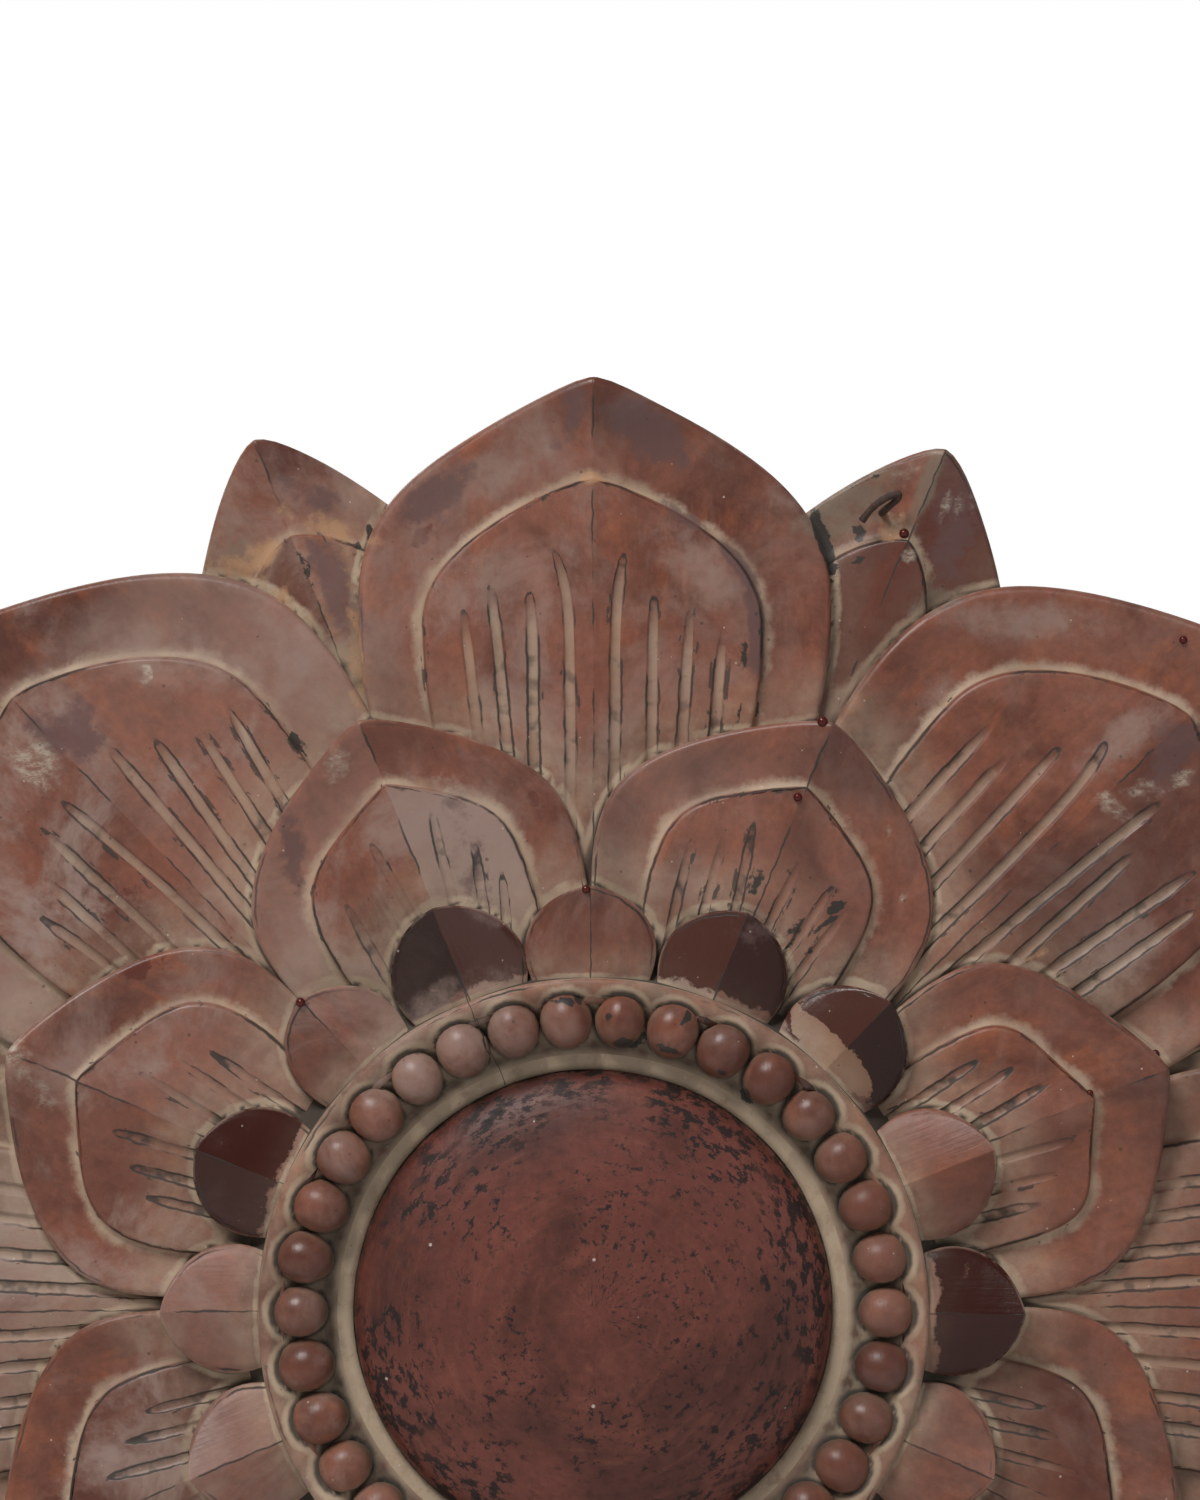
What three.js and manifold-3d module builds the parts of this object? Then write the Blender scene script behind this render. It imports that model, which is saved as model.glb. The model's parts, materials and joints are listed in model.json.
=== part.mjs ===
// A round carved lotus rosette of lacquered wood, made to hang flat against a wall or a ceiling.
// Millimetres, +Z up. The flat back lies in the plane y = 0 and the carving faces -Y.
// The origin is the centre of the flat back.

import * as THREE from 'three';
import { mergeVertices } from 'three/addons/utils/BufferGeometryUtils.js';
import Module from 'manifold-3d';

const wasm = await Module();
wasm.setup();

// Driving dimensions. Heights are measured from the back plane, reaches from the centre.
const petalsPerTier = 8;
const seatGap = 0.3;               // clearance where separate pieces meet

// Outlines: a root, a widest shoulder and a tip, joined by two cubic curves on each flank.
// Lift: the height of the middle line at the root and at the tip, and how late it curls up.
// Fold: how steeply the two halves fall away from the middle line near the tip.
// Rim: from the panel's edge to the outline, pairs of a share of the way and a rise above the step.
// Stations: places along a flank, 0 at the root, 0.5 at the shoulder and 1 at the tip.
const largePetal = {
  count: petalsPerTier,
  turn: 0,
  outline: {
    root: 225, rootHalf: 94, shoulder: 434, half: 152,
    handle: 74, tipBack: 48, tipOut: 100, tip: 575,
  },
  panel: {
    root: 225, rootHalf: 62, shoulder: 423, half: 105,
    handle: 32, tipBack: 30, tipOut: 80, tip: 512,
  },
  rootHeight: 54,
  tipHeight: 76,
  curl: 1.8,
  keel: 4,
  keelReach: 45,
  droop: 6,
  fold: 0.16,
  step: 6,
  rim: [[0.05, 0], [0.42, 2], [0.86, 10], [1, 6]],
  panelStations: [0, 0.5, 0.71, 0.87, 1],
  veinRows: 3,
  rimStations: [0, 0.4, 0.6, 0.74, 0.88, 1],
  underside: 0,
  undercut: 0.24,
  veinWidth: 6.5,
  veinDepth: 2.6,
  veins: [
    { end: 472, endHalf: 22, rootHalf: 13.5, flare: 6 },
    { end: 449, endHalf: 40, rootHalf: 35, flare: 4 },
    { end: 447, endHalf: 63, rootHalf: 42, flare: 1.4 },
    { end: 430, endHalf: 81, rootHalf: 54, flare: 1.4 },
  ],
};

const mediumPetal = {
  count: petalsPerTier,
  turn: Math.PI / petalsPerTier,
  outline: {
    root: 200, rootHalf: 80, shoulder: 288, half: 110,
    handle: 41, tipBack: 30, tipOut: 64, tip: 391,
  },
  panel: {
    root: 200, rootHalf: 54, shoulder: 280, half: 70,
    handle: 35, tipBack: 26, tipOut: 46, tip: 348,
  },
  rootHeight: 66,
  tipHeight: 79,
  curl: 1.8,
  keel: 4,
  keelReach: 36,
  droop: 6,
  fold: 0.13,
  step: 5,
  rim: [[0.06, 0], [0.42, 1.5], [0.86, 8], [1, 5]],
  panelStations: [0, 0.53, 0.74, 0.9, 1],
  veinRows: 2,
  rimStations: [0, 0.46, 0.66, 0.83, 1],
  underside: 24,
  undercut: 0.2,
  veinWidth: 6,
  veinDepth: 2.2,
  veins: [
    { end: 321, endHalf: 21, rootHalf: 10, flare: 1.6 },
    { end: 304, endHalf: 36, rootHalf: 21, flare: 1.4 },
    { end: 285, endHalf: 49, rootHalf: 36, flare: 1.2 },
  ],
};

const backPetal = {
  count: petalsPerTier,
  turn: Math.PI / petalsPerTier,
  outline: {
    root: 360, rootHalf: 70, shoulder: 430, half: 94,
    handle: 44, tipBack: 33, tipOut: 40, tip: 575,
  },
  panel: {
    root: 360, rootHalf: 36, shoulder: 440, half: 52,
    handle: 22, tipBack: 16, tipOut: 18, tip: 516,
  },
  rootHeight: 44,
  tipHeight: 57,
  curl: 1.6,
  keel: 5,
  keelReach: 40,
  droop: 4,
  fold: 0.2,
  step: 5,
  rim: [[0.06, 0], [0.9, 6], [1, 4]],
  panelStations: [0, 0.5, 1],
  veinRows: 0,
  rimStations: [0, 0.56, 0.8, 1],
  underside: 0,
  undercut: 0.24,
  veins: [],
};

const smallPetal = {
  count: 2 * petalsPerTier,
  turn: 0,
  outline: {
    root: 190, rootHalf: 30, shoulder: 220, half: 40.5,
    handle: 12, tipBack: 10, tipOut: 39, tip: 264,
  },
  rootHeight: 79,
  tipHeight: 87,
  curl: 1.4,
  keel: 7,
  keelReach: 40,
  droop: 4,
  fold: 0.16,
  stations: [0, 0.55, 0.8, 1],
  underside: 44,
  undercut: 0.15,
};

const core = { radius: 380, edgeHeight: 38, middleRadius: 240, middleHeight: 46 };
const ring = { radius: 206, footHeight: 72, height: 90, bandWidth: 7.5, round: 2.2, channelHeight: 72 };
const beads = {
  count: 34, circle: 180.5, radius: 16, centreHeight: 79, rootHeight: 66, shoulderTilt: 62, rootShare: 0.96,
};
const cove = { outer: 165, inner: 148.3, height: 65 };
const boss = { radius: 148, seatHeight: 56, rimHeight: 69, height: 103, chamfer: 2, levels: 4 };
const nail = { wire: 2.2, boreRadius: 2.7, boreDepth: 14, entry: [179.5, 493], surface: 51, bends: 11 };

const roundSides = beads.count;    // sides of the turned forms, their corners between the beads
const beadSides = 6;
const wireSides = 6;
const rootSpread = 0.45;           // how early a petal's root swells towards its shoulder
const foldBack = 30;               // how far below the shoulder a petal's two halves begin to fold
const veinTaper = 36;              // the length over which a vein runs out at its outer end
const veinPoint = 0.3;             // the width left at the end of a vein, as a share
const veinLimit = 0.86;            // the part of the panel's half-width that veins may reach

// Mesh building

// Collects vertices and triangles, and fills the strip between two rows of vertices.
class Shell {
  constructor() {
    this.positions = [];
    this.triangles = [];
  }

  add(point) {
    this.positions.push(point);
    return this.positions.length - 1;
  }

  face(a, b, c) {
    if (a !== b && b !== c && a !== c) this.triangles.push(a, b, c);
  }

  // Two rows run the same way, each a list of { id, at } with at rising from 0 to 1.
  strip(lower, upper) {
    let i = 0;
    let j = 0;
    while (i < lower.length - 1 || j < upper.length - 1) {
      const lowerNext = i < lower.length - 1 ? lower[i + 1].at : Infinity;
      const upperNext = j < upper.length - 1 ? upper[j + 1].at : Infinity;
      if (lowerNext <= upperNext) {
        this.face(lower[i].id, lower[i + 1].id, upper[j].id);
        i += 1;
      } else {
        this.face(lower[i].id, upper[j + 1].id, upper[j].id);
        j += 1;
      }
    }
  }

  fan(centre, row) {
    for (let i = 0; i < row.length - 1; i += 1) this.face(centre, row[i].id, row[i + 1].id);
  }

  geometry() {
    const geometry = new THREE.BufferGeometry();
    geometry.setAttribute('position', new THREE.Float32BufferAttribute(this.positions.flat(), 3));
    geometry.setIndex(this.triangles);
    return geometry;
  }
}

function toSolid(geometry) {
  const bare = geometry.clone();
  bare.deleteAttribute('normal');
  bare.deleteAttribute('uv');
  const merged = mergeVertices(bare, 1e-4);
  const vertProperties = new Float32Array(merged.attributes.position.array);
  const triVerts = new Uint32Array(merged.index.array);
  return new wasm.Manifold(new wasm.Mesh({ numProp: 3, vertProperties, triVerts }));
}

function toGeometry(solid) {
  const mesh = solid.getMesh();
  const geometry = new THREE.BufferGeometry();
  geometry.setAttribute('position', new THREE.BufferAttribute(new Float32Array(mesh.vertProperties), 3));
  geometry.setIndex(new THREE.BufferAttribute(new Uint32Array(mesh.triVerts), 1));
  return geometry;
}

function joinAll(solids) {
  return solids.reduce((whole, next) => whole.add(next));
}

// Outlines

// A point on one flank at a station. x is the reach, y the half-width.
function flankPoint(o, at) {
  const rootRun = (o.shoulder - o.root) / 3;
  const rootCurve = new THREE.CubicBezierCurve(
    new THREE.Vector2(o.root, o.rootHalf),
    new THREE.Vector2(o.root + rootRun, o.rootHalf + (o.half - o.rootHalf) * rootSpread),
    new THREE.Vector2(o.shoulder - rootRun, o.half),
    new THREE.Vector2(o.shoulder, o.half),
  );
  const tipCurve = new THREE.CubicBezierCurve(
    new THREE.Vector2(o.shoulder, o.half),
    new THREE.Vector2(o.shoulder + o.handle, o.half),
    new THREE.Vector2(o.tip - o.tipBack, o.tipOut),
    new THREE.Vector2(o.tip, 0),
  );
  return at < 0.5 ? rootCurve.getPoint(at * 2) : tipCurve.getPoint(at * 2 - 1);
}

// Heights

// The swelling of a petal before its panel and rim are cut: lift, middle ridge and falling sides.
function swell(petal, reach, half) {
  const o = petal.outline;
  const along = Math.max(0, Math.min(1, (reach - o.root) / (o.tip - o.root)));
  const lift = petal.rootHeight + (petal.tipHeight - petal.rootHeight) * along ** petal.curl;
  const ridge = petal.keel * Math.max(0, 1 - Math.abs(half) / petal.keelReach);
  const folded = petal.fold * Math.abs(half) * THREE.MathUtils.smoothstep(reach, o.shoulder - foldBack, o.tip);
  const fall = petal.droop * (half / o.half) ** 2;
  return lift + ridge - folded - fall;
}

// Petals

// Puts a petal point in the panel's frame. side is the distance to the right of the middle line.
function place(angle, reach, side, height) {
  return [
    reach * Math.sin(angle) + side * Math.cos(angle),
    -height,
    reach * Math.cos(angle) - side * Math.sin(angle),
  ];
}

// A row of vertices round a petal: up the left flank, over the tip, down the right flank.
function horseshoe(shell, angle, stations, pointAt) {
  const left = stations.map((at) => ({ at: at / 2, point: pointAt(at), sign: -1 }));
  const back = stations.slice(0, -1).reverse();
  const right = back.map((at) => ({ at: 1 - at / 2, point: pointAt(at), sign: 1 }));
  return [...left, ...right].map(({ at, point, sign }) => ({
    at,
    id: shell.add(place(angle, point.reach, sign * point.half, point.height)),
  }));
}

// Half-distances from the middle line of each vein at a given reach, and its depth there.
function veinAt(petal, vein, reach, panelHalf) {
  const root = petal.panel.root;
  const share = Math.max(0, (reach - root) / (vein.end - root));
  const open = vein.rootHalf + (vein.endHalf - vein.rootHalf) * Math.min(1, share) ** vein.flare;
  const taper = Math.max(0, Math.min(1, (vein.end - reach) / veinTaper));
  const widest = flankPoint(petal.panel, 0.5).y;
  const half = reach > vein.end ? vein.endHalf * Math.min(1, panelHalf / widest) : open;
  return {
    half: Math.min(half, panelHalf * veinLimit),
    depth: petal.veinDepth * taper,
    width: petal.veinWidth * (veinPoint + (1 - veinPoint) * taper),
  };
}

// A row of vertices straight across the panel, with three at each vein.
function panelRow(shell, petal, angle, point, withVeins) {
  const cuts = [];
  if (withVeins) {
    for (const vein of petal.veins) {
      const { half, depth, width } = veinAt(petal, vein, point.x, point.y);
      cuts.push([half - width / 2, 0], [half, depth], [half + width / 2, 0]);
    }
  }
  const right = cuts.map(([half, depth]) => ({ side: half, depth }));
  const left = right.map(({ side, depth }) => ({ side: -side, depth })).reverse();
  return [...left, { side: 0, depth: 0 }, ...right].map(({ side, depth }) => ({
    at: 0.5 + (0.5 * side) / point.y,
    id: shell.add(place(angle, point.x, side, swell(petal, point.x, side) - depth)),
  }));
}

// The underside's outline, drawn in all round by the undercut.
function soleRow(shell, petal, angle, stations) {
  const { root, tip, half } = petal.outline;
  return horseshoe(shell, angle, stations, (at) => {
    const p = flankPoint(petal.outline, at);
    const inset = petal.undercut * (swell(petal, p.x, p.y) - petal.underside);
    return {
      reach: root + (p.x - root) * (1 - inset / (tip - root)),
      half: p.y * (1 - inset / half),
      height: petal.underside,
    };
  });
}

// Fills the face between the rows, the flanks between the horseshoes, the root end and the underside.
function closePetal(shell, petal, angle, rows, horseshoes) {
  const [edge] = horseshoes;
  const sole = horseshoes[horseshoes.length - 1];
  const peak = edge[(edge.length - 1) / 2];
  for (let i = 0; i < rows.length - 1; i += 1) shell.strip(rows[i], rows[i + 1]);
  shell.strip(rows[rows.length - 1], [{ at: 0, id: peak.id }, { at: 1, id: peak.id }]);
  for (let i = 0; i < horseshoes.length - 1; i += 1) shell.strip(horseshoes[i], horseshoes[i + 1]);

  const flanks = horseshoes.slice(1);
  const leftEnds = flanks.map((row) => row[0]).reverse();
  const rightEnds = flanks.map((row) => row[row.length - 1]);
  const rootMiddle = shell.add(place(angle, petal.outline.root, 0, petal.underside));
  shell.fan(rootMiddle, [...leftEnds, ...rows[0], ...rightEnds].reverse());
  shell.fan(rootMiddle, sole);
}

// A petal with a raised panel inside a rim.
function framedPetal(petal, angle) {
  const { panelStations, veinRows, rimStations } = petal;
  const shell = new Shell();
  const panelPoint = (at) => flankPoint(petal.panel, at);
  const edge = horseshoe(shell, angle, panelStations, (at) => {
    const p = panelPoint(at);
    return { reach: p.x, half: p.y, height: swell(petal, p.x, p.y) };
  });
  const rimRow = (share, stations, rise) => horseshoe(shell, angle, stations, (at) => {
    const p = panelPoint(at).lerp(flankPoint(petal.outline, at), share);
    return { reach: p.x, half: p.y, height: swell(petal, p.x, p.y) - petal.step + rise };
  });
  const rim = petal.rim.map(([share, rise], i) => rimRow(share, i === 0 ? panelStations : rimStations, rise));
  const sole = soleRow(shell, petal, angle, rimStations);
  const rows = panelStations.slice(0, -1).map((at, i) => {
    const inner = panelRow(shell, petal, angle, panelPoint(at), i < veinRows);
    return [{ at: 0, id: edge[i].id }, ...inner, { at: 1, id: edge[edge.length - 1 - i].id }];
  });
  closePetal(shell, petal, angle, rows, [edge, ...rim, sole]);
  return toSolid(shell.geometry());
}

// A small petal: one keeled swelling with crisp edges and no panel.
function plainPetal(petal, angle) {
  const { stations } = petal;
  const shell = new Shell();
  const flank = (at) => flankPoint(petal.outline, at);
  const edge = horseshoe(shell, angle, stations, (at) => {
    const p = flank(at);
    return { reach: p.x, half: p.y, height: swell(petal, p.x, p.y) };
  });
  const sole = soleRow(shell, petal, angle, stations);
  const rows = stations.slice(0, -1).map((at, i) => {
    const reach = flank(at).x;
    const middle = shell.add(place(angle, reach, 0, swell(petal, reach, 0)));
    return [{ at: 0, id: edge[i].id }, { at: 0.5, id: middle }, { at: 1, id: edge[edge.length - 1 - i].id }];
  });
  closePetal(shell, petal, angle, rows, [edge, sole]);
  return toSolid(shell.geometry());
}

function tier(petal, makePetal) {
  const solids = [];
  for (let i = 0; i < petal.count; i += 1) {
    solids.push(makePetal(petal, petal.turn + (i * 2 * Math.PI) / petal.count));
  }
  return solids;
}

// Turned forms

// Spins a profile of [radius, height] points about the panel's axis.
function turned(profile, sides) {
  const points = profile.map(([radius, height]) => new THREE.Vector2(radius, height));
  return new THREE.LatheGeometry(points, sides).rotateX(Math.PI);
}

// Carcass: the solid under the petals, the ring, the bead channel, the cove and the boss's seat.
function carcass() {
  const band = ring.radius - ring.bandWidth;
  return toSolid(turned([
    [0, 0],
    [core.radius, 0],
    [core.radius, core.edgeHeight],
    [core.middleRadius, core.middleHeight],
    [ring.radius + 1, ring.footHeight],
    [ring.radius, ring.height - ring.round],
    [ring.radius - ring.round, ring.height],
    [band, ring.height - 1],
    [band - 1, ring.channelHeight],
    [cove.outer, cove.height + 1],
    [cove.inner, cove.height],
    [cove.inner, boss.seatHeight],
    [0, boss.seatHeight],
  ], roundSides));
}

function beadRing() {
  const shoulder = THREE.MathUtils.degToRad(beads.shoulderTilt);
  const rootDrop = beads.rootHeight - beads.centreHeight;
  const profile = [
    [0, rootDrop],
    [beads.radius * beads.rootShare, rootDrop],
    [beads.radius * Math.sin(shoulder), beads.radius * Math.cos(shoulder)],
    [0, beads.radius],
  ];
  const solids = [];
  for (let i = 0; i < beads.count; i += 1) {
    const angle = ((i + 0.5) * 2 * Math.PI) / beads.count;
    const [x, y, z] = place(angle, beads.circle, 0, beads.centreHeight);
    const squareOn = angle + Math.PI / beadSides;
    solids.push(toSolid(turned(profile, beadSides).rotateY(squareOn).translate(x, y, z)));
  }
  return solids;
}

function bossGeometry() {
  const { chamfer, levels, rimHeight } = boss;
  const seat = boss.seatHeight + seatGap;
  const outside = boss.radius - seatGap;
  const wall = [[outside, seat + chamfer], [outside, rimHeight - chamfer]];
  const profile = [[0, seat], [outside - chamfer, seat], ...wall];
  for (let i = 0; i < levels; i += 1) {
    const turn = (i / levels) * (Math.PI / 2);
    profile.push([
      (outside - chamfer) * Math.cos(turn),
      rimHeight + (boss.height - rimHeight) * Math.sin(turn),
    ]);
  }
  profile.push([0, boss.height]);
  return turned(profile, roundSides);
}

// An iron nail driven into a back petal, its end bent over towards the middle.
function nailGeometry() {
  const [x, z] = nail.entry;
  const { surface } = nail;
  const route = [
    [x, surface - nail.boreDepth + 1, z],
    [x, surface - 3, z],
    [x + 1, surface + 5, z + 1],
    [x + 8, surface + 12, z + 7],
    [x + 9, surface + 15, z + 10.5],
    [x + 3, surface + 15, z + 9],
    [x - 6, surface + 12, z + 3],
    [x - 13, surface + 8, z - 5.5],
  ].map(([px, height, pz]) => new THREE.Vector3(px, -height, pz));
  const path = new THREE.CatmullRomCurve3(route, false, 'centripetal');
  const section = new THREE.Shape();
  for (let i = 0; i < wireSides; i += 1) {
    const turn = (i * 2 * Math.PI) / wireSides;
    const method = i === 0 ? 'moveTo' : 'lineTo';
    section[method](nail.wire * Math.cos(turn), nail.wire * Math.sin(turn));
  }
  section.closePath();
  return new THREE.ExtrudeGeometry(section, { steps: nail.bends, bevelEnabled: false, extrudePath: path });
}

function nailBore() {
  const [x, z] = nail.entry;
  const depth = nail.boreDepth;
  const bore = new THREE.CylinderGeometry(nail.boreRadius, nail.boreRadius, 3 * depth, 8);
  return toSolid(bore.translate(x, -(nail.surface + depth / 2), z));
}

// Assembly

function lotusPanelGeometry() {
  const solids = [
    carcass(),
    ...tier(backPetal, framedPetal),
    ...tier(largePetal, framedPetal),
    ...tier(mediumPetal, framedPetal),
    ...tier(smallPetal, plainPetal),
    ...beadRing(),
  ];
  return toGeometry(joinAll(solids).subtract(nailBore()));
}

function finish(name, color, roughness, metalness) {
  return new THREE.MeshStandardMaterial({ name, color, roughness, metalness });
}

function named(name, geometry, material) {
  const mesh = new THREE.Mesh(geometry, material);
  mesh.name = name;
  return mesh;
}

const redLacquer = finish('red_lacquer', 0x73443a, 0.5, 0);
const darkLacquer = finish('dark_lacquer', 0x54302c, 0.42, 0);
const rustedIron = finish('rusted_iron', 0x3a2a24, 0.8, 0.4);

const rosette = new THREE.Group();
rosette.add(named('lotus_panel', lotusPanelGeometry(), redLacquer));
rosette.add(named('centre_boss', bossGeometry(), darkLacquer));
rosette.add(named('bent_nail', nailGeometry(), rustedIron));

export default rosette;
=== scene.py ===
import json
import math
import random

import bmesh
import bpy
from mathutils import Matrix, Vector, kdtree, noise
from mathutils.bvhtree import BVHTree

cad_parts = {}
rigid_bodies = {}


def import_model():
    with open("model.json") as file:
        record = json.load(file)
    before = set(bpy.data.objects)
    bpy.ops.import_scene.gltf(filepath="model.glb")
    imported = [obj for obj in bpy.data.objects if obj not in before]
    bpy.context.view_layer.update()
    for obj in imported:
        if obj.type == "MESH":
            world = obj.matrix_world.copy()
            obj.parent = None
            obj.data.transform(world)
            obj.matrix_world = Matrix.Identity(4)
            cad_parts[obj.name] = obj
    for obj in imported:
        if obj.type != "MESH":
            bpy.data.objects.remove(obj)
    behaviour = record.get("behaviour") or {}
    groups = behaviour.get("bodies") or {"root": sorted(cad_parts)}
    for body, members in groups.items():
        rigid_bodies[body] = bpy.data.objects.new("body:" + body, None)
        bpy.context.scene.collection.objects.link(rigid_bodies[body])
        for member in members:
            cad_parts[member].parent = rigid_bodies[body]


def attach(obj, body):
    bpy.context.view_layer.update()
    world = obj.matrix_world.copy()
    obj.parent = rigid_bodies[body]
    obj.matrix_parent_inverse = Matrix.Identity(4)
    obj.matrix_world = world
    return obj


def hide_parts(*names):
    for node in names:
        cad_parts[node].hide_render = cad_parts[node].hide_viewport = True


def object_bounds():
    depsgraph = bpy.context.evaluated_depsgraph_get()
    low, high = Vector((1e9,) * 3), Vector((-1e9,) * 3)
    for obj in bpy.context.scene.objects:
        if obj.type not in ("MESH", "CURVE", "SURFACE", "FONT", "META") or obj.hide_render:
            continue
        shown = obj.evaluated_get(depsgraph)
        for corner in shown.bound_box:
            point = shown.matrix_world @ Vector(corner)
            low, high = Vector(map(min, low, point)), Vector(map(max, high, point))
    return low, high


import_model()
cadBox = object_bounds()
mm = 0.001


def tint(code):          # a colour written as on the web, as the numbers that a shader wants
    parts = [int(code[i:i + 2], 16) / 255 for i in (1, 3, 5)]
    return tuple(((c + 0.055) / 1.055) ** 2.4 if c > 0.04045 else c / 12.92 for c in parts) + (1.0,)


def smooth(low, high, value):
    t = max(0.0, min(1.0, (value - low) / (high - low)))
    return t * t * (3 - 2 * t)


# The photograph's view: straight on, from well back, with the centre of the rosette low in the frame
photoView = {
    "distance": 3.0,     # from the relief to the camera
    "relief": 0.07,      # the relief's middle height above the back
    "aimX": 0.0043,
    "aimZ": 0.3455,
    "frameHeight": 0.9255,
    "sensor": 36.0,
}


def setCamera():
    view = photoView
    data = bpy.data.cameras.new("photoCamera")
    data.sensor_fit = "VERTICAL"
    data.sensor_height = view["sensor"]
    data.lens = view["sensor"] * view["distance"] / view["frameHeight"]
    data.clip_end = 50
    camera = bpy.data.objects.new("photoCamera", data)
    camera.location = (view["aimX"], -(view["relief"] + view["distance"]), view["aimZ"])
    camera.rotation_euler = (math.radians(90), 0, 0)
    bpy.context.scene.collection.objects.link(camera)
    bpy.context.scene.camera = camera


studio = {
    "key": {"place": (-1.1, -2.1, 2.7), "size": 1.5, "watts": 100, "colour": (1.0, 0.985, 0.965)},
    "fill": {"place": (2.4, -2.6, 0.6), "size": 2.4, "watts": 10, "colour": (0.97, 0.985, 1.0)},
    "behind": {"place": (-1.5, 2.6, 1.8), "size": 2.0, "watts": 50, "colour": (1.0, 1.0, 1.0)},
    "aim": (0, -0.05, 0.3),
    "skyLight": 0.23,    # the white room's light on the panel, with the background itself plain white
    "floorDrop": 0.001,
    "floorSize": 14.0,
    "floorColour": "#ecebe8",
    "floorRoughness": 0.75,
}


def setLights():
    for name in ("key", "fill", "behind"):
        lamp = studio[name]
        data = bpy.data.lights.new(name + "Light", "AREA")
        data.shape = "DISK"
        data.size = lamp["size"]
        data.energy = lamp["watts"]
        data.color = lamp["colour"]
        light = bpy.data.objects.new(name + "Light", data)
        light.location = lamp["place"]
        toAim = Vector(studio["aim"]) - Vector(lamp["place"])
        light.rotation_euler = toAim.to_track_quat("-Z", "Y").to_euler()
        bpy.context.scene.collection.objects.link(light)
    world = bpy.data.worlds.new("whiteRoom")
    world.use_nodes = True
    nodes, links = world.node_tree.nodes, world.node_tree.links
    nodes.clear()
    out = nodes.new("ShaderNodeOutputWorld")
    mix = nodes.new("ShaderNodeMixShader")
    path = nodes.new("ShaderNodeLightPath")
    seen = nodes.new("ShaderNodeBackground")
    cast = nodes.new("ShaderNodeBackground")
    cast.inputs["Strength"].default_value = studio["skyLight"]
    for sky in (seen, cast):
        sky.inputs["Color"].default_value = (1, 1, 1, 1)
    links.new(path.outputs["Is Camera Ray"], mix.inputs["Fac"])
    links.new(cast.outputs[0], mix.inputs[1])
    links.new(seen.outputs[0], mix.inputs[2])
    links.new(mix.outputs[0], out.inputs["Surface"])
    bpy.context.scene.world = world
    bpy.context.scene.view_settings.view_transform = "Standard"


def layFloor():
    bm = bmesh.new()
    bmesh.ops.create_grid(bm, x_segments=2, y_segments=2, size=studio["floorSize"] / 2)
    bmesh.ops.translate(bm, verts=bm.verts, vec=(0, 0, cadBox[0][2] - studio["floorDrop"]))
    floor = addPiece("studioFloor", bm, 1)
    paint = bpy.data.materials.new("paleFloor")
    paint.use_nodes = True
    surface = paint.node_tree.nodes["Principled BSDF"]
    surface.inputs["Base Color"].default_value = tint(studio["floorColour"])
    surface.inputs["Roughness"].default_value = studio["floorRoughness"]
    floor.data.materials.append(paint)


def addPiece(name, bm, unit=mm):  # a finished mesh as an object at the origin, brought to metres
    bmesh.ops.scale(bm, verts=bm.verts, vec=(unit, unit, unit))
    mesh = bpy.data.meshes.new(name)
    bm.to_mesh(mesh)
    bm.free()
    for face in mesh.polygons:
        face.use_smooth = True
    piece = bpy.data.objects.new(name, mesh)
    bpy.context.scene.collection.objects.link(piece)
    return piece


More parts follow.
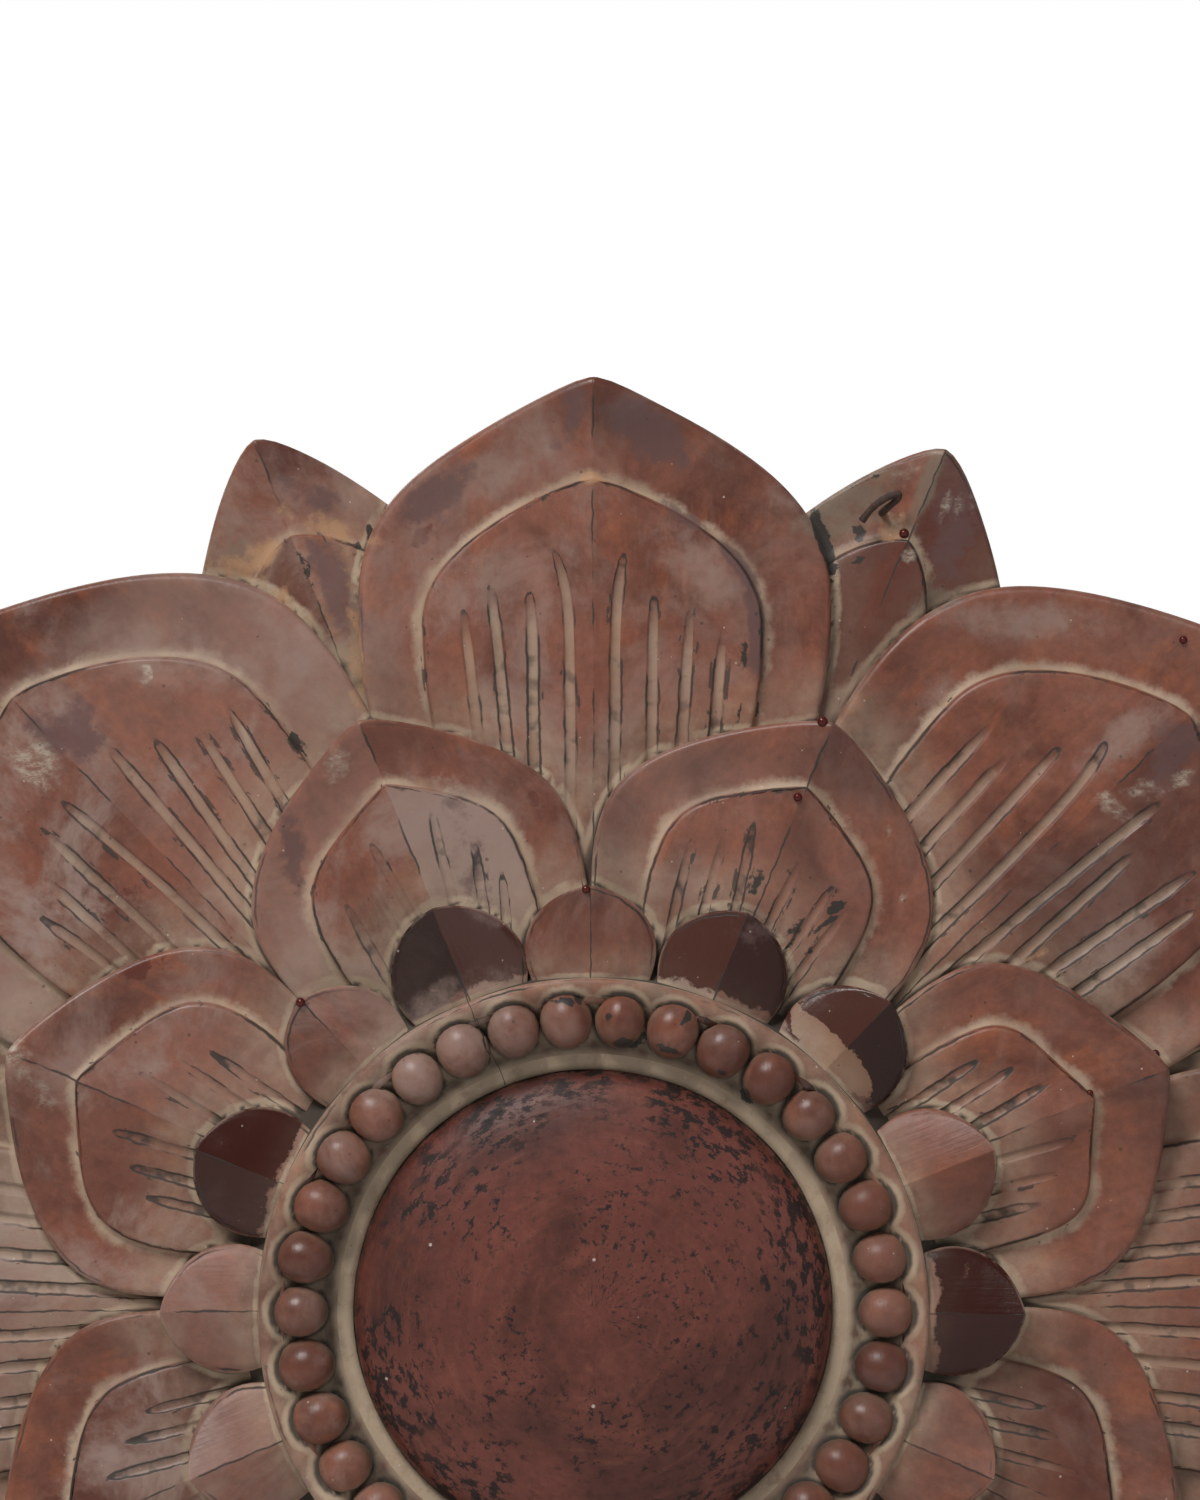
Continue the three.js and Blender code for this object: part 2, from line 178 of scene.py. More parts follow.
# Petals. An outline has a root, a widest shoulder and a tip, with two cubic curves on each flank.
# rim: from the panel's edge (0) to the outline (1), a share of the way and the height above the swelling.
# A vein is (outer end, its side there, its side at the root, how late it bends out).
# carved: petals that the photograph shows well, by place clockwise from the top. Their tones say how dark
# each face is left and right of the keel, on the rim and at the tip, from hazy (-1) to dark (1): partly how
# deep the lacquer is, partly painted sheen and painted shade on the two faces of the fold.
largePetal = {
    "count": 8,
    "turn": 0.0,
    "outline": {"root": 225, "rootHalf": 94, "shoulder": 434, "half": 152,
                "handle": 74, "tipBack": 48, "tipOut": 100, "tip": 579, "blunt": 4},
    "panel": {"root": 225, "rootHalf": 62, "shoulder": 423, "half": 105,
              "handle": 32, "tipBack": 30, "tipOut": 80, "tip": 515, "blunt": 3},
    "rootHeight": 54, "tipHeight": 76, "curl": 1.8, "keel": 4, "keelReach": 45, "droop": 6, "fold": 0.16,
    "rim": [(0.02, -4.6), (0.05, -5.9), (0.1, -6.0), (0.18, -5.7), (0.3, -4.9), (0.45, -3.4), (0.6, -1.0),
            (0.74, 1.8), (0.85, 3.8), (0.92, 4.4), (0.965, 3.8), (1.0, 1.8)],
    "underside": 0.3, "undercut": 0.24,
    "veinWidth": 7.2, "veinDepth": 2.6,
    "rowsLow": 15, "rowsHigh": 26,
    "veins": [(462, 22, 9, 1.3), (447, 44, 24, 1.2), (433, 67, 40, 1.1), (425, 86, 56, 1.1)],
    "carved": {
        0: {"turn": 0.0, "half": 148, "leftHalf": 146, "tones": (-0.15, 0.0), "rimTones": (-0.25, 0.1),
            "tipTones": (0.5, 1.0),
            "left": [(472, 26, 14, 12), (447, 40, 36.5, 8), (449, 64, 46, 1.6), (435, 81, 60, 1.3)],
            "right": [(469, 20, 13.5, 10), (444, 38, 36, 3), (435, 61, 50, 1.5), (423, 81, 68, 1.4)]},
        7: {"turn": 1.5, "half": 163, "leftHalf": 158, "shoulder": 428, "handle": 62, "tipOut": 110,
            "panelHalf": 109, "panelTip": 523, "tones": (0.2, -0.3), "rimTones": (-0.5, -0.5),
            "tipTones": (0.3, 0.5),
            "left": [(455, 22, 8, 1.8), (450, 44, 28, 0.8), (430, 64, 50, 0.9), (414, 82, 58, 1.4)],
            "right": [(460, 22, 9, 1.2), (445, 46, 20, 1.4), (431, 70, 34, 1.1), (427, 92, 48, 1.05)]},
        1: {"turn": 0.0, "half": 158, "leftHalf": 160, "shoulder": 428, "handle": 62, "tipOut": 110,
            "panelHalf": 108, "panelTip": 522, "tones": (0.1, 0.4), "rimTones": (0.1, 0.3),
            "tipTones": (-0.1, 0.6),
            "left": [(474, 24, 14, 9), (452, 41, 33, 1.3), (426, 60, 52, 1.1), (434, 81, 70, 1.0)],
            "right": [(472, 27, 8, 1.5), (439, 38, 28, 1.1), (457, 73, 36, 1.2), (440, 90, 58, 1.2)]},
    },
}

mediumPetal = {
    "count": 8,
    "turn": 22.5,
    "outline": {"root": 200, "rootHalf": 80, "shoulder": 288, "half": 110,
                "handle": 41, "tipBack": 30, "tipOut": 64, "tip": 394, "blunt": 3},
    "panel": {"root": 200, "rootHalf": 54, "shoulder": 280, "half": 70,
              "handle": 35, "tipBack": 26, "tipOut": 46, "tip": 350, "blunt": 2},
    "rootHeight": 66, "tipHeight": 79, "curl": 1.8, "keel": 4, "keelReach": 36, "droop": 6, "fold": 0.13,
    "rim": [(0.025, -3.8), (0.06, -4.9), (0.12, -5.0), (0.22, -4.7), (0.36, -3.8), (0.5, -2.2), (0.64, 0.1),
            (0.78, 2.0), (0.87, 3.1), (0.93, 3.4), (0.97, 2.8), (1.0, 1.2)],
    "underside": 24, "undercut": 0.2,
    "veinWidth": 5.8, "veinDepth": 2.0,
    "rowsLow": 10, "rowsHigh": 22,
    "veins": [(318, 20, 6, 1.2), (300, 36, 20, 1.1), (283, 49, 34, 1.0)],
    "carved": {
        7: {"turn": 0.9, "half": 99, "leftHalf": 109, "panelHalf": 62, "panelLeftHalf": 71,
            "tones": (0.2, -0.9), "rimTones": (-0.4, -0.05), "tipTones": (-0.3, 0.55),
            "left": [(322, 22, 6, 1.2), (310, 33, 18, 1.0), (292, 50, 38, 1.0)],
            "right": [(326, 21, 6, 1.3), (300, 39, 16, 1.0), (275, 48, 26, 1.0)]},
        0: {"turn": -0.3, "half": 106, "leftHalf": 111, "panelHalf": 67, "panelLeftHalf": 70,
            "tones": (-0.2, -0.2), "rimTones": (-0.35, 0.0), "tipTones": (-0.1, 0.75),
            "left": [(318, 22, 4, 1.3), (305, 36, 22, 1.0), (294, 54, 38, 1.0)],
            "right": [(307, 14, 6, 1.0), (302, 39, 18, 1.0), (290, 52, 30, 1.0)]},
        6: {"turn": 1.5, "tip": 397, "half": 111, "panelHalf": 77, "tones": (0.3, -0.3),
            "tipTones": (-0.1, 0.3)},
        1: {"turn": -0.5, "tip": 387, "half": 105, "panelHalf": 66, "panelTip": 337, "tones": (0.1, 0.3),
            "tipTones": (0.1, 0.6)},
    },
}

backPetal = {
    "count": 8,
    "turn": 22.5,
    "outline": {"root": 360, "rootHalf": 70, "shoulder": 430, "half": 94,
                "handle": 44, "tipBack": 33, "tipOut": 42, "tip": 581, "blunt": 6},
    "panel": {"root": 360, "rootHalf": 36, "shoulder": 440, "half": 62,
              "handle": 30, "tipBack": 8, "tipOut": 30, "tip": 514, "blunt": 1},
    "rootHeight": 44, "tipHeight": 57, "curl": 1.6, "keel": 5, "keelReach": 40, "droop": 4, "fold": 0.2,
    "rim": [(0.04, -3.6), (0.1, -4.7), (0.2, -5.0), (0.4, -4.0), (0.6, -2.4), (0.8, -0.4), (0.92, 1.0),
            (0.98, 0.6), (1.0, -0.8)],
    "underside": 0.9, "undercut": 0.24,
    "veinDepth": 0,
    "rowsLow": 6, "rowsHigh": 22,
    "veins": [],
    "carved": {
        7: {"turn": 1.15, "tip": 583, "tones": (0.9, 0.2), "rimTones": (0.1, -0.3), "tipTones": (0.3, 1.0)},
        0: {"turn": -0.2, "tip": 581, "half": 98, "leftHalf": 94, "panelHalf": 36, "panelLeftHalf": 56,
            "tones": (0.9, 1.0), "rimTones": (0.0, 1.0), "tipTones": (-0.2, 1.0)},
    },
}

smallPetal = {
    "count": 16,
    "turn": 0.0,
    "outline": {"root": 190, "rootHalf": 30, "shoulder": 222, "half": 40.5,
                "handle": 15, "tipBack": 8, "tipOut": 32, "tip": 266.5, "blunt": 1.0},
    "rootHeight": 79, "tipHeight": 87, "curl": 1.4, "keel": 7, "keelReach": 40, "droop": 4, "fold": 0.16,
    "underside": 44, "undercut": 0.15,
    "rowsLow": 7, "rowsHigh": 14,
    "glazed": 0.4,       # share of these petals that kept their dark last coat
    "carved": {
        15: {"turn": 0.9, "half": 42.5, "leftHalf": 43, "tip": 268, "glaze": 1, "tones": (1, -0.6)},
        0: {"turn": -0.4, "tip": 263.5, "tones": (0.5, 0.4)},
        1: {"turn": -1.4, "tip": 264, "glaze": 1, "tones": (-0.9, 0.4)},
        2: {"turn": -1.3, "tip": 265, "glaze": 1, "tones": (-0.8, 0.7)},
        3: {"turn": 0.3, "tones": (0.2, 0.5)},
        14: {"turn": 2.0, "half": 37.5, "tip": 264, "tones": (0.4, -0.2)},
    },
}

handwork = {             # how far one carved petal strays from the next, where the photograph doesn't say
    "seed": 7,
    "turn": 0.4,         # degrees
    "half": 0.02,        # share of the half-width
    "tip": 2.0,
    "tone": 0.5,         # how the lacquer's depth differs from petal to petal
    "sideTone": 0.3,     # and from one side of the keel to the other
    "tipTone": (-0.2, 0.4),
    "tipToneReach": (60, 22),  # how far back from the tip that begins, and where it is full
    "rimTone": 0.35,     # how much of its panel's tone a rim shares
    "waver": 0.7,        # the knife's waver along a cut
    "waverScale": 0.018,
    "flatBack": 1,       # the waver leaves this much at the back alone
    "backStep": 0.3,     # how much lower the back of every other petal lies
    "rootSwell": 0.45,   # how soon a petal widens from its root
    "bluntHalf": 8,      # how wide the blunting of a tip reaches
    "foldStart": 30,     # how far before the shoulder the flanks begin to fold down
    "edgeRound": 1.4,    # how deep the worn rounding of an edge goes
    "panelBevel": 3.0,   # how far in it begins on a panel
    "bevelFull": 20,     # the half-width from which a panel's bevel is full
    "floorShare": 0.72,  # the flat part of a vein's floor
    "veinWall": (-0.4, 1.7),   # from just outside a vein's edge to where it is full depth
    "veinTaper": 22,     # the length over which a vein's outer end narrows
    "veinEnd": 0.15,     # share of its width that is left there
    "endShare": 0.3,     # the last share of the taper, in which the vein closes
    "endClosing": 1.7,   # how far its edges draw in by then
    "endSlope": 1.6,     # how fast its depth is reached from the end
    "pastEnd": 1.2,      # the gap that is counted just past the end
    "squeezeFrom": 0.8,  # share of a panel's half-width beyond which veins crowd together
    "squeezeRoom": 0.14,
    "smallFoot": 1.8,    # how much narrower the dust at the feet is on petals with no panel
    "grainShift": 40,    # how far each petal's wood lies from the next one's, for each degree of turn
    "edgeSteps": 500,    # points along an outline, for distances on the petal itself
    "footSteps": 160,    # and for distances to the petals above
}


def cubic(a, b, c, d, t):
    u = 1 - t
    return u * u * u * a + 3 * u * u * t * b + 3 * u * t * t * c + t * t * t * d


def flankPoint(o, at):   # (reach, half-width) on a flank: 0 at the root, 0.5 at the shoulder, 1 at the tip
    if at < 0.5:
        t = at * 2
        run = (o["shoulder"] - o["root"]) / 3
        early = o["rootHalf"] + (o["half"] - o["rootHalf"]) * handwork["rootSwell"]
        return (cubic(o["root"], o["root"] + run, o["shoulder"] - run, o["shoulder"], t),
                cubic(o["rootHalf"], early, o["half"], o["half"], t))
    t = at * 2 - 1
    reach = cubic(o["shoulder"], o["shoulder"] + o["handle"], o["tip"] - o["tipBack"], o["tip"], t)
    half = cubic(o["half"], o["half"], o["tipOut"], 0, t)
    return reach - o["blunt"] * math.exp(-half / handwork["bluntHalf"]), half


def swell(petal, outline, reach, side):  # how high a petal's own rounding lies, before any cut
    along = max(0.0, min(1.0, (reach - outline["root"]) / (outline["tip"] - outline["root"])))
    lift = petal["rootHeight"] + (petal["tipHeight"] - petal["rootHeight"]) * along ** petal["curl"]
    ridge = petal["keel"] * max(0.0, 1 - abs(side) / petal["keelReach"])
    folding = smooth(outline["shoulder"] - handwork["foldStart"], outline["tip"], reach)
    folded = petal["fold"] * abs(side) * folding
    return lift + ridge - folded - petal["droop"] * (side / outline["half"]) ** 2


def widened(outline, half, tip, changes):
    new = dict(outline)
    new.update({key: changes[key] for key in ("shoulder", "handle", "tipOut") if key in changes})
    new["tipOut"] *= half / new["half"]
    new["half"] = half
    new["tip"] = tip
    return new


def handCarved(petal, i, rand):  # what the hand made of the petal at place i, the same each time
    said = petal["carved"].get(i, {})
    stray = {key: rand.uniform(-1, 1) * (0 if said else handwork[key]) for key in ("turn", "half", "tip")}
    plain = petal["outline"]
    tip = said.get("tip", plain["tip"] + stray["tip"])
    both = said.get("half", plain["half"] * (1 + stray["half"]))
    shape = {"turn": petal["turn"] + i * 360 / petal["count"] + said.get("turn", stray["turn"]), "flanks": {}}
    shape["underside"] = petal["underside"] + handwork["backStep"] * (i % 2)
    shape["glaze"] = said.get("glaze", 0) if said else float(rand.random() < petal.get("glazed", 0))
    deep = rand.uniform(-handwork["tone"], handwork["tone"])
    uneven = handwork["sideTone"]
    shape["tones"] = said.get("tones", (deep + rand.uniform(-uneven, uneven),
                                        deep + rand.uniform(-uneven, uneven)))
    share = handwork["rimTone"] if "panel" in petal else 1
    shape["rimTones"] = said.get("rimTones", [tone * share for tone in shape["tones"]])
    atTip = (rand.uniform(*handwork["tipTone"]), rand.uniform(*handwork["tipTone"]))
    shape["tipTones"] = said.get("tipTones", atTip)
    for sign, hand in ((-1, "left"), (1, "right")):
        flank = {"outline": widened(plain, said.get(hand + "Half", both), tip, said)}
        if "panel" in petal:
            panel = petal["panel"]
            half = said.get("panelHalf", panel["half"] * (1 + stray["half"]))
            if sign < 0:
                half = said.get("panelLeftHalf", half)
            panelTip = said.get("panelTip", panel["tip"] + stray["tip"])
            flank["panel"] = widened(panel, half, panelTip, {})
            flank["veins"] = said.get(hand, petal["veins"])
        shape["flanks"][sign] = flank
    return shape


farOff = 99.0            # a distance that stands for none
weld = 0.03              # vertices closer than this are one
veinSteps = (-1.3, -1, -handwork["floorShare"], handwork["floorShare"], 1, 1.3)
betweenSteps = (0.04, 0.52)
veinedSteps = (0.3, 0.6, 0.85)                 # from the last vein to the panel's edge
plainSteps = (0.15, 0.3, 0.45, 0.6, 0.75, 0.9)   # the same on a panel with no veins
bevelSteps = ((handwork["panelBevel"], 0.0), (1.2, -0.35), (0.0, -handwork["edgeRound"]))  # inset and drop
plainShares = (0.015, 0.07, 0.16, 0.28, 0.42, 0.56, 0.7, 0.82, 0.91, 0.97, 1.0)


def veinPlace(petal, vein, reach):  # a vein's way from the keel, half its width, and what is left of its end
    end, endSide, rootSide, bend = vein
    root = petal["panel"]["root"]
    share = max(0.0, min(1.0, (reach - root) / (end - root)))
    left = max(0.0, min(1.0, (end - reach) / handwork["veinTaper"]))
    narrow = handwork["veinEnd"]
    half = petal["veinWidth"] / 2 * (narrow + (1 - narrow) * math.sqrt(left))
    return rootSide + (endSide - rootSide) * share ** bend, half, left


def veinGap(petal, vein, reach, side):  # millimetres outside a vein's edge, and the share of its full depth
    centre, half, left = veinPlace(petal, vein, reach)
    if reach > vein[0]:
        return math.hypot(side - vein[1], reach - vein[0]) + handwork["pastEnd"], 0.0
    closing = handwork["endClosing"] * smooth(handwork["endShare"], 0, left)
    return abs(side - centre) - half + closing, min(1.0, left * handwork["endSlope"])


def panelCuts(petal, veins, reach, edge):  # the mesh's places across half a panel, from the keel outwards
    limit, spare = handwork["squeezeFrom"] * edge + 1e-6, handwork["squeezeRoom"] * edge + 1e-6

    def squeezed(side):
        return side if side < limit else limit + spare * (1 - math.exp((limit - side) / spare))

    stops, last = [], 0.0
    for vein in veins:
        centre, half, left = veinPlace(petal, vein, reach)
        inner = max(last, squeezed(centre + veinSteps[0] * half))
        stops += [last + (inner - last) * step for step in betweenSteps]
        for step in veinSteps:
            last = max(last, squeezed(centre + step * half))
            stops.append(last)
    bevel = min(1.0, edge / handwork["bevelFull"])
    start = max(last, edge - bevelSteps[0][0] * bevel)
    stops += [last + (start - last) * step for step in (veinedSteps if veins else plainSteps)]
    stops += [edge - inset * bevel for inset, drop in bevelSteps]
    return [min(edge, side) for side in stops]


def panelRow(petal, flank, at, sign):  # half a row across the panel and its rim, from the keel outwards
    reach, edge = flankPoint(flank["panel"], at)
    outline = flank["outline"]
    points = []
    sides = panelCuts(petal, flank["veins"], reach, edge)
    bevels = [0.0] * (len(sides) - len(bevelSteps)) + [drop for inset, drop in bevelSteps]
    for side, drop in zip(sides, bevels):
        nearest, depth = farOff, 0.0
        for vein in flank["veins"]:
            gap, share = veinGap(petal, vein, reach, side)
            nearest = min(nearest, gap)
            depth = max(depth, share * smooth(*handwork["veinWall"], -gap))
        height = swell(petal, outline, reach, side) + drop - petal["veinDepth"] * depth
        points.append((sign * side, height, reach, nearest))
    outReach, outHalf = flankPoint(outline, at)
    for share, rise in petal["rim"]:
        r = reach + (outReach - reach) * share
        side = edge + (outHalf - edge) * share
        points.append((sign * side, swell(petal, outline, r, side) + rise, r, farOff))
    return points


def plainRow(petal, flank, at, sign):  # the same for a petal with no panel: one keeled swelling
    reach, half = flankPoint(flank["outline"], at)
    points = []
    for share in plainShares:
        rounding = handwork["edgeRound"] * smooth(0.9, 1.0, share)
        height = swell(petal, flank["outline"], reach, share * half) - rounding
        points.append((sign * share * half, height, reach, farOff))
    return points


def edgePoints(flanks, key, steps):  # along a petal's outline or the edge of its panel
    points = []
    for sign, flank in flanks.items():
        for n in range(steps + 1):
            reach, half = flankPoint(flank[key], n / steps)
            points.append(Vector((sign * half, 0, reach)))
    return points


def circlePoints(radius, steps, x=0.0, z=0.0):
    turns = [k * 2 * math.pi / steps for k in range(steps)]
    return [Vector((x + radius * math.cos(turn), 0, z + radius * math.sin(turn))) for turn in turns]


def pointTree(points):   # to measure distances to the nearest of the points
    tree = kdtree.KDTree(len(points))
    for n, point in enumerate(points):
        tree.insert(point, n)
    tree.balance()
    return tree


def turnAll(bm, angle, axis):
    bmesh.ops.rotate(bm, verts=bm.verts, cent=(0, 0, 0), matrix=Matrix.Rotation(angle, 3, axis))


# What each vertex knows: millimetres to the nearest vein, panel edge (less than 0 inside), keel, outline and
# tier above, how dark each face is left and right of the keel (less than 0 where it is hazy; partly the
# lacquer's depth, partly painted sheen and shade on the fold's faces), how much of a dark last coat is left
# and how much painted shade and grime darken it. grain runs along the wood.
gapNames = ("veinGap", "panelGap", "keelGap", "edgeGap", "restGap", "leftTone", "rightTone", "glaze", "shadeAndGrime")
dropTone = 5.0           # marks a drop, since no lacquer is this deep


def newForm():           # every carved or turned form starts in a mesh of its own, which keeps the work quick
    bm = bmesh.new()
    layers = {name: bm.verts.layers.float.new(name) for name in gapNames}
    layers["grain"] = bm.verts.layers.float_vector.new("grain")
    return bm, layers


def fillForm(bm, layers, values, shift=0.0):
    start = {name: farOff if name.endswith("Gap") else 0.0 for name in gapNames}
    start.update(values)
    for vert in bm.verts:
        for name, value in start.items():
            vert[layers[name]] = value
        vert[layers["grain"]] = (vert.co.x + shift, vert.co.y, vert.co.z)


def finishForm(name, bm):  # the knife's waver over all but the flat back
    for vert in bm.verts:
        if vert.co.y < -handwork["flatBack"]:
            vert.co += noise.noise_vector(vert.co * handwork["waverScale"]) * handwork["waver"]
    return addPiece(name, bm)


def joinForms(name, forms):
    for other in bpy.context.view_layer.objects:
        other.select_set(other in forms)
    bpy.context.view_layer.objects.active = forms[0]
    bpy.ops.object.join()
    forms[0].name = name
    forms[0].data.name = name
    return forms[0]


wallSteps = ((0.05, -0.01), (0.16, 0.03), (0.45, 0.3), (1.0, 1.0))  # shares of the way down and the undercut
tipStations = (0.996, 1.0)


def carvePetal(petal, shape, above):
    bm, layers = newForm()
    start = bm.verts.layers.float_vector.new("start")
    flanks = shape["flanks"]
    hasPanel = "panel" in petal
    makeRow = panelRow if hasPanel else plainRow
    low, high = petal["rowsLow"], petal["rowsHigh"]
    stations = [0.5 * n / low for n in range(low)] + [0.5 + 0.5 * n / high for n in range(high)]
    rows = []
    for at in stations + list(tipStations):
        left = makeRow(petal, flanks[-1], at, -1)
        right = makeRow(petal, flanks[1], at, 1)
        reach = right[0][2]
        keel = (0.0, swell(petal, flanks[1]["outline"], reach, 0), reach, farOff)
        rows.append(left[::-1] + [keel] + right)
    wide, tall = len(rows[0]) - 1, len(rows) - 1
    bmesh.ops.create_grid(bm, x_segments=wide, y_segments=tall, size=1)
    panelEdge = pointTree(edgePoints(flanks, "panel", handwork["edgeSteps"])) if hasPanel else None
    outlineEdge = pointTree(edgePoints(flanks, "outline", handwork["edgeSteps"]))
    rimColumns = len(petal["rim"]) if hasPanel else 0
    outlineTip = flanks[1]["outline"]["tip"]
    for vert in bm.verts:
        column = round((vert.co.x + 1) / 2 * wide)
        row = round((vert.co.y + 1) / 2 * tall)
        side, height, reach, gap = rows[row][column]
        vert.co = (side, -height, reach)
        vert[start] = vert.co
        vert[layers["veinGap"]] = gap
        vert[layers["keelGap"]] = side
        vert[layers["edgeGap"]] = outlineEdge.find((side, 0, reach))[2]
        vert[layers["glaze"]] = shape["glaze"]
        vert[layers["panelGap"]] = farOff
        onRim = not rimColumns <= column <= wide - rimColumns
        tones = shape["rimTones"] if onRim else shape["tones"]
        atTip = 0.0
        if hasPanel:
            vert[layers["panelGap"]] = (1 if onRim else -1) * panelEdge.find((side, 0, reach))[2]
            atTip = smooth(*handwork["tipToneReach"], outlineTip - reach)
        for n, name in enumerate(("leftTone", "rightTone")):
            vert[layers[name]] = tones[n] + (shape["tipTones"][n] - tones[n]) * atTip
    bmesh.ops.remove_doubles(bm, verts=bm.verts, dist=weld)
    edges = [e for e in bm.edges if len(e.link_faces) == 1]
    root = petal["outline"]["root"]
    for drop, under in wallSteps:
        made = bmesh.ops.extrude_edge_only(bm, edges=edges)["geom"]
        edges = [e for e in made if isinstance(e, bmesh.types.BMEdge)]
        for vert in (v for v in made if isinstance(v, bmesh.types.BMVert)):
            side, height, reach = vert[start]
            fall = -height - shape["underside"]
            inset = petal["undercut"] * fall * under
            half = flanks[1 if side > 0 else -1]["outline"]["half"]
            vert.co = (side * (1 - inset / half), height + fall * drop,
                       root + (reach - root) * (1 - inset / (outlineTip - root)))
            vert[layers["edgeGap"]] = fall * drop
    bmesh.ops.contextual_create(bm, geom=edges)
    for vert in bm.verts:
        side, height, reach = vert.co
        vert[layers["grain"]] = (side, height, reach + handwork["grainShift"] * shape["turn"])
    turnAll(bm, math.radians(shape["turn"]), "Y")
    footScale = 1.0 if hasPanel else handwork["smallFoot"]
    for vert in bm.verts:
        vert[layers["restGap"]] = above.find((vert.co.x, 0, vert.co.z))[2] * footScale
    bm.verts.layers.float_vector.remove(start)
    return finishForm("petal", bm)


def turnedOutline(shape):  # where a petal's outline lies on the rosette
    turn = Matrix.Rotation(math.radians(shape["turn"]), 3, "Y")
    return [turn @ point for point in edgePoints(shape["flanks"], "outline", handwork["footSteps"])]

# The turned middle: ring, bead channel, cove and the carcass that carries the petals
middle = {
    "sides": 204,
    "carcassRadius": 380, "carcassEdge": 38, "carcassMiddle": 46, "middleRadius": 240,
    "ringRadius": 206, "ringFoot": 72, "ringHeight": 90, "bandWidth": 7.5, "ringSteps": 400,
    "channelHeight": 72,
    "coveOuter": 165, "coveInner": 148.3, "coveHeight": 65, "seatHeight": 56,
    "coveShadeAndGrime": 0.8, "coveShadeAndGrimeReach": (5, 2),           # painted shade and grime at the cove's outer edge, under the beads
    "coveFloorEdge": 3, "coveRest": 3.4, "coveVein": -3.0,  # its floor is as pale as a vein's dust: partly dust, partly painted light on the floor
    "beadCount": 34, "beadCircle": 180.5, "beadRadius": 16, "beadHeight": 79,
    "beadSides": 20, "beadRings": 12, "beadSteps": 40,
    "beadStray": 0.6, "beadSwell": 0.03,
    "beadLength": 1.14,      # a bead is a little longer outwards than it is wide
    "beadTones": (0.2, 1.0), "leftBeads": 0.5,            # the beads on the left are hazier, partly painted sheen
    "beadFoot": 3, "beadDust": 2.6,                       # how dust thins out up a bead
    # painted shade and grime on each bead's lower side, towards the middle
    "beadShadeAndGrime": 0.7, "shadeAndGrimeInward": (4, 17), "shadeAndGrimeHeight": (91, 82),
    "beadGrain": 31,
}


def ringProfile():
    m = middle
    ring, top, channel = m["ringRadius"], m["ringHeight"], m["channelHeight"]
    band, cove, floor = ring - m["bandWidth"], m["coveOuter"], m["coveHeight"]
    return [
        (0, 0), (m["carcassRadius"], 0), (m["carcassRadius"], m["carcassEdge"]),
        (m["middleRadius"], m["carcassMiddle"]), (ring + 1, m["ringFoot"]), (ring, top - 3),
        (ring - 0.7, top - 1.3), (ring - 2.4, top - 0.4), (ring - 5, top), (band + 1, top - 0.4),
        (band - 1.2, top - 1.4), (band - 3.5, top - 3.4), (band - 6, top - 6.4), (band - 9, top - 10),
        (band - 13, channel + 5), (m["beadCircle"], channel + 1), (cove + 3, channel - 1.5),
        (cove + 0.5, floor + 3.4), (cove - 2.5, floor + 0.6), (cove - 7, floor - 0.2),
        (m["coveInner"] + 5, floor + 0.4), (m["coveInner"], floor), (m["coveInner"], m["seatHeight"]),
        (0, m["seatHeight"]),
    ]


def spinProfile(bm, profile, sides):  # a turned solid about the rosette's axis
    verts = [bm.verts.new((radius, -height, 0)) for radius, height in profile]
    edges = [bm.edges.new(pair) for pair in zip(verts, verts[1:])]
    bmesh.ops.spin(bm, geom=verts + edges, cent=(0, 0, 0), axis=(0, 1, 0), angle=2 * math.pi,
                   steps=sides, use_merge=True)
    bmesh.ops.remove_doubles(bm, verts=bm.verts, dist=weld)
    bmesh.ops.recalc_face_normals(bm, faces=bm.faces)


def turnBead(m, n, rand):
    angle = (n + 0.5) * 2 * math.pi / m["beadCount"]
    size = m["beadRadius"] * (1 + rand.uniform(-1, 1) * m["beadSwell"])
    reach = m["beadCircle"] + rand.uniform(-1, 1) * m["beadStray"]
    height = m["beadHeight"] + rand.uniform(-1, 1) * m["beadStray"]
    place = (reach * math.sin(angle), reach * math.cos(angle))
    bm, layers = newForm()
    bmesh.ops.create_uvsphere(bm, u_segments=m["beadSides"], v_segments=m["beadRings"], radius=size)
    turnAll(bm, math.pi / 2, "X")
    bmesh.ops.scale(bm, verts=bm.verts, vec=(1, 1, m["beadLength"]))
    turnAll(bm, angle, "Y")
    bmesh.ops.translate(bm, verts=bm.verts, vec=(place[0], -height, place[1]))
    tone = rand.uniform(*m["beadTones"]) - (m["leftBeads"] if angle > math.pi else 0.0)
    fillForm(bm, layers, {"leftTone": tone, "rightTone": tone}, shift=m["beadGrain"] * n)
    for vert in bm.verts:
        up = -vert.co.y
        inward = reach - math.hypot(vert.co.x, vert.co.z)
        vert[layers["restGap"]] = max(0.0, up - m["channelHeight"] - m["beadFoot"]) * m["beadDust"]
        # painted shade and grime: darker on the bead's lower side, towards the middle
        vert[layers["shadeAndGrime"]] = (m["beadShadeAndGrime"] * smooth(*m["shadeAndGrimeInward"], inward)
                                 * smooth(*m["shadeAndGrimeHeight"], up))
    return finishForm("bead", bm), place


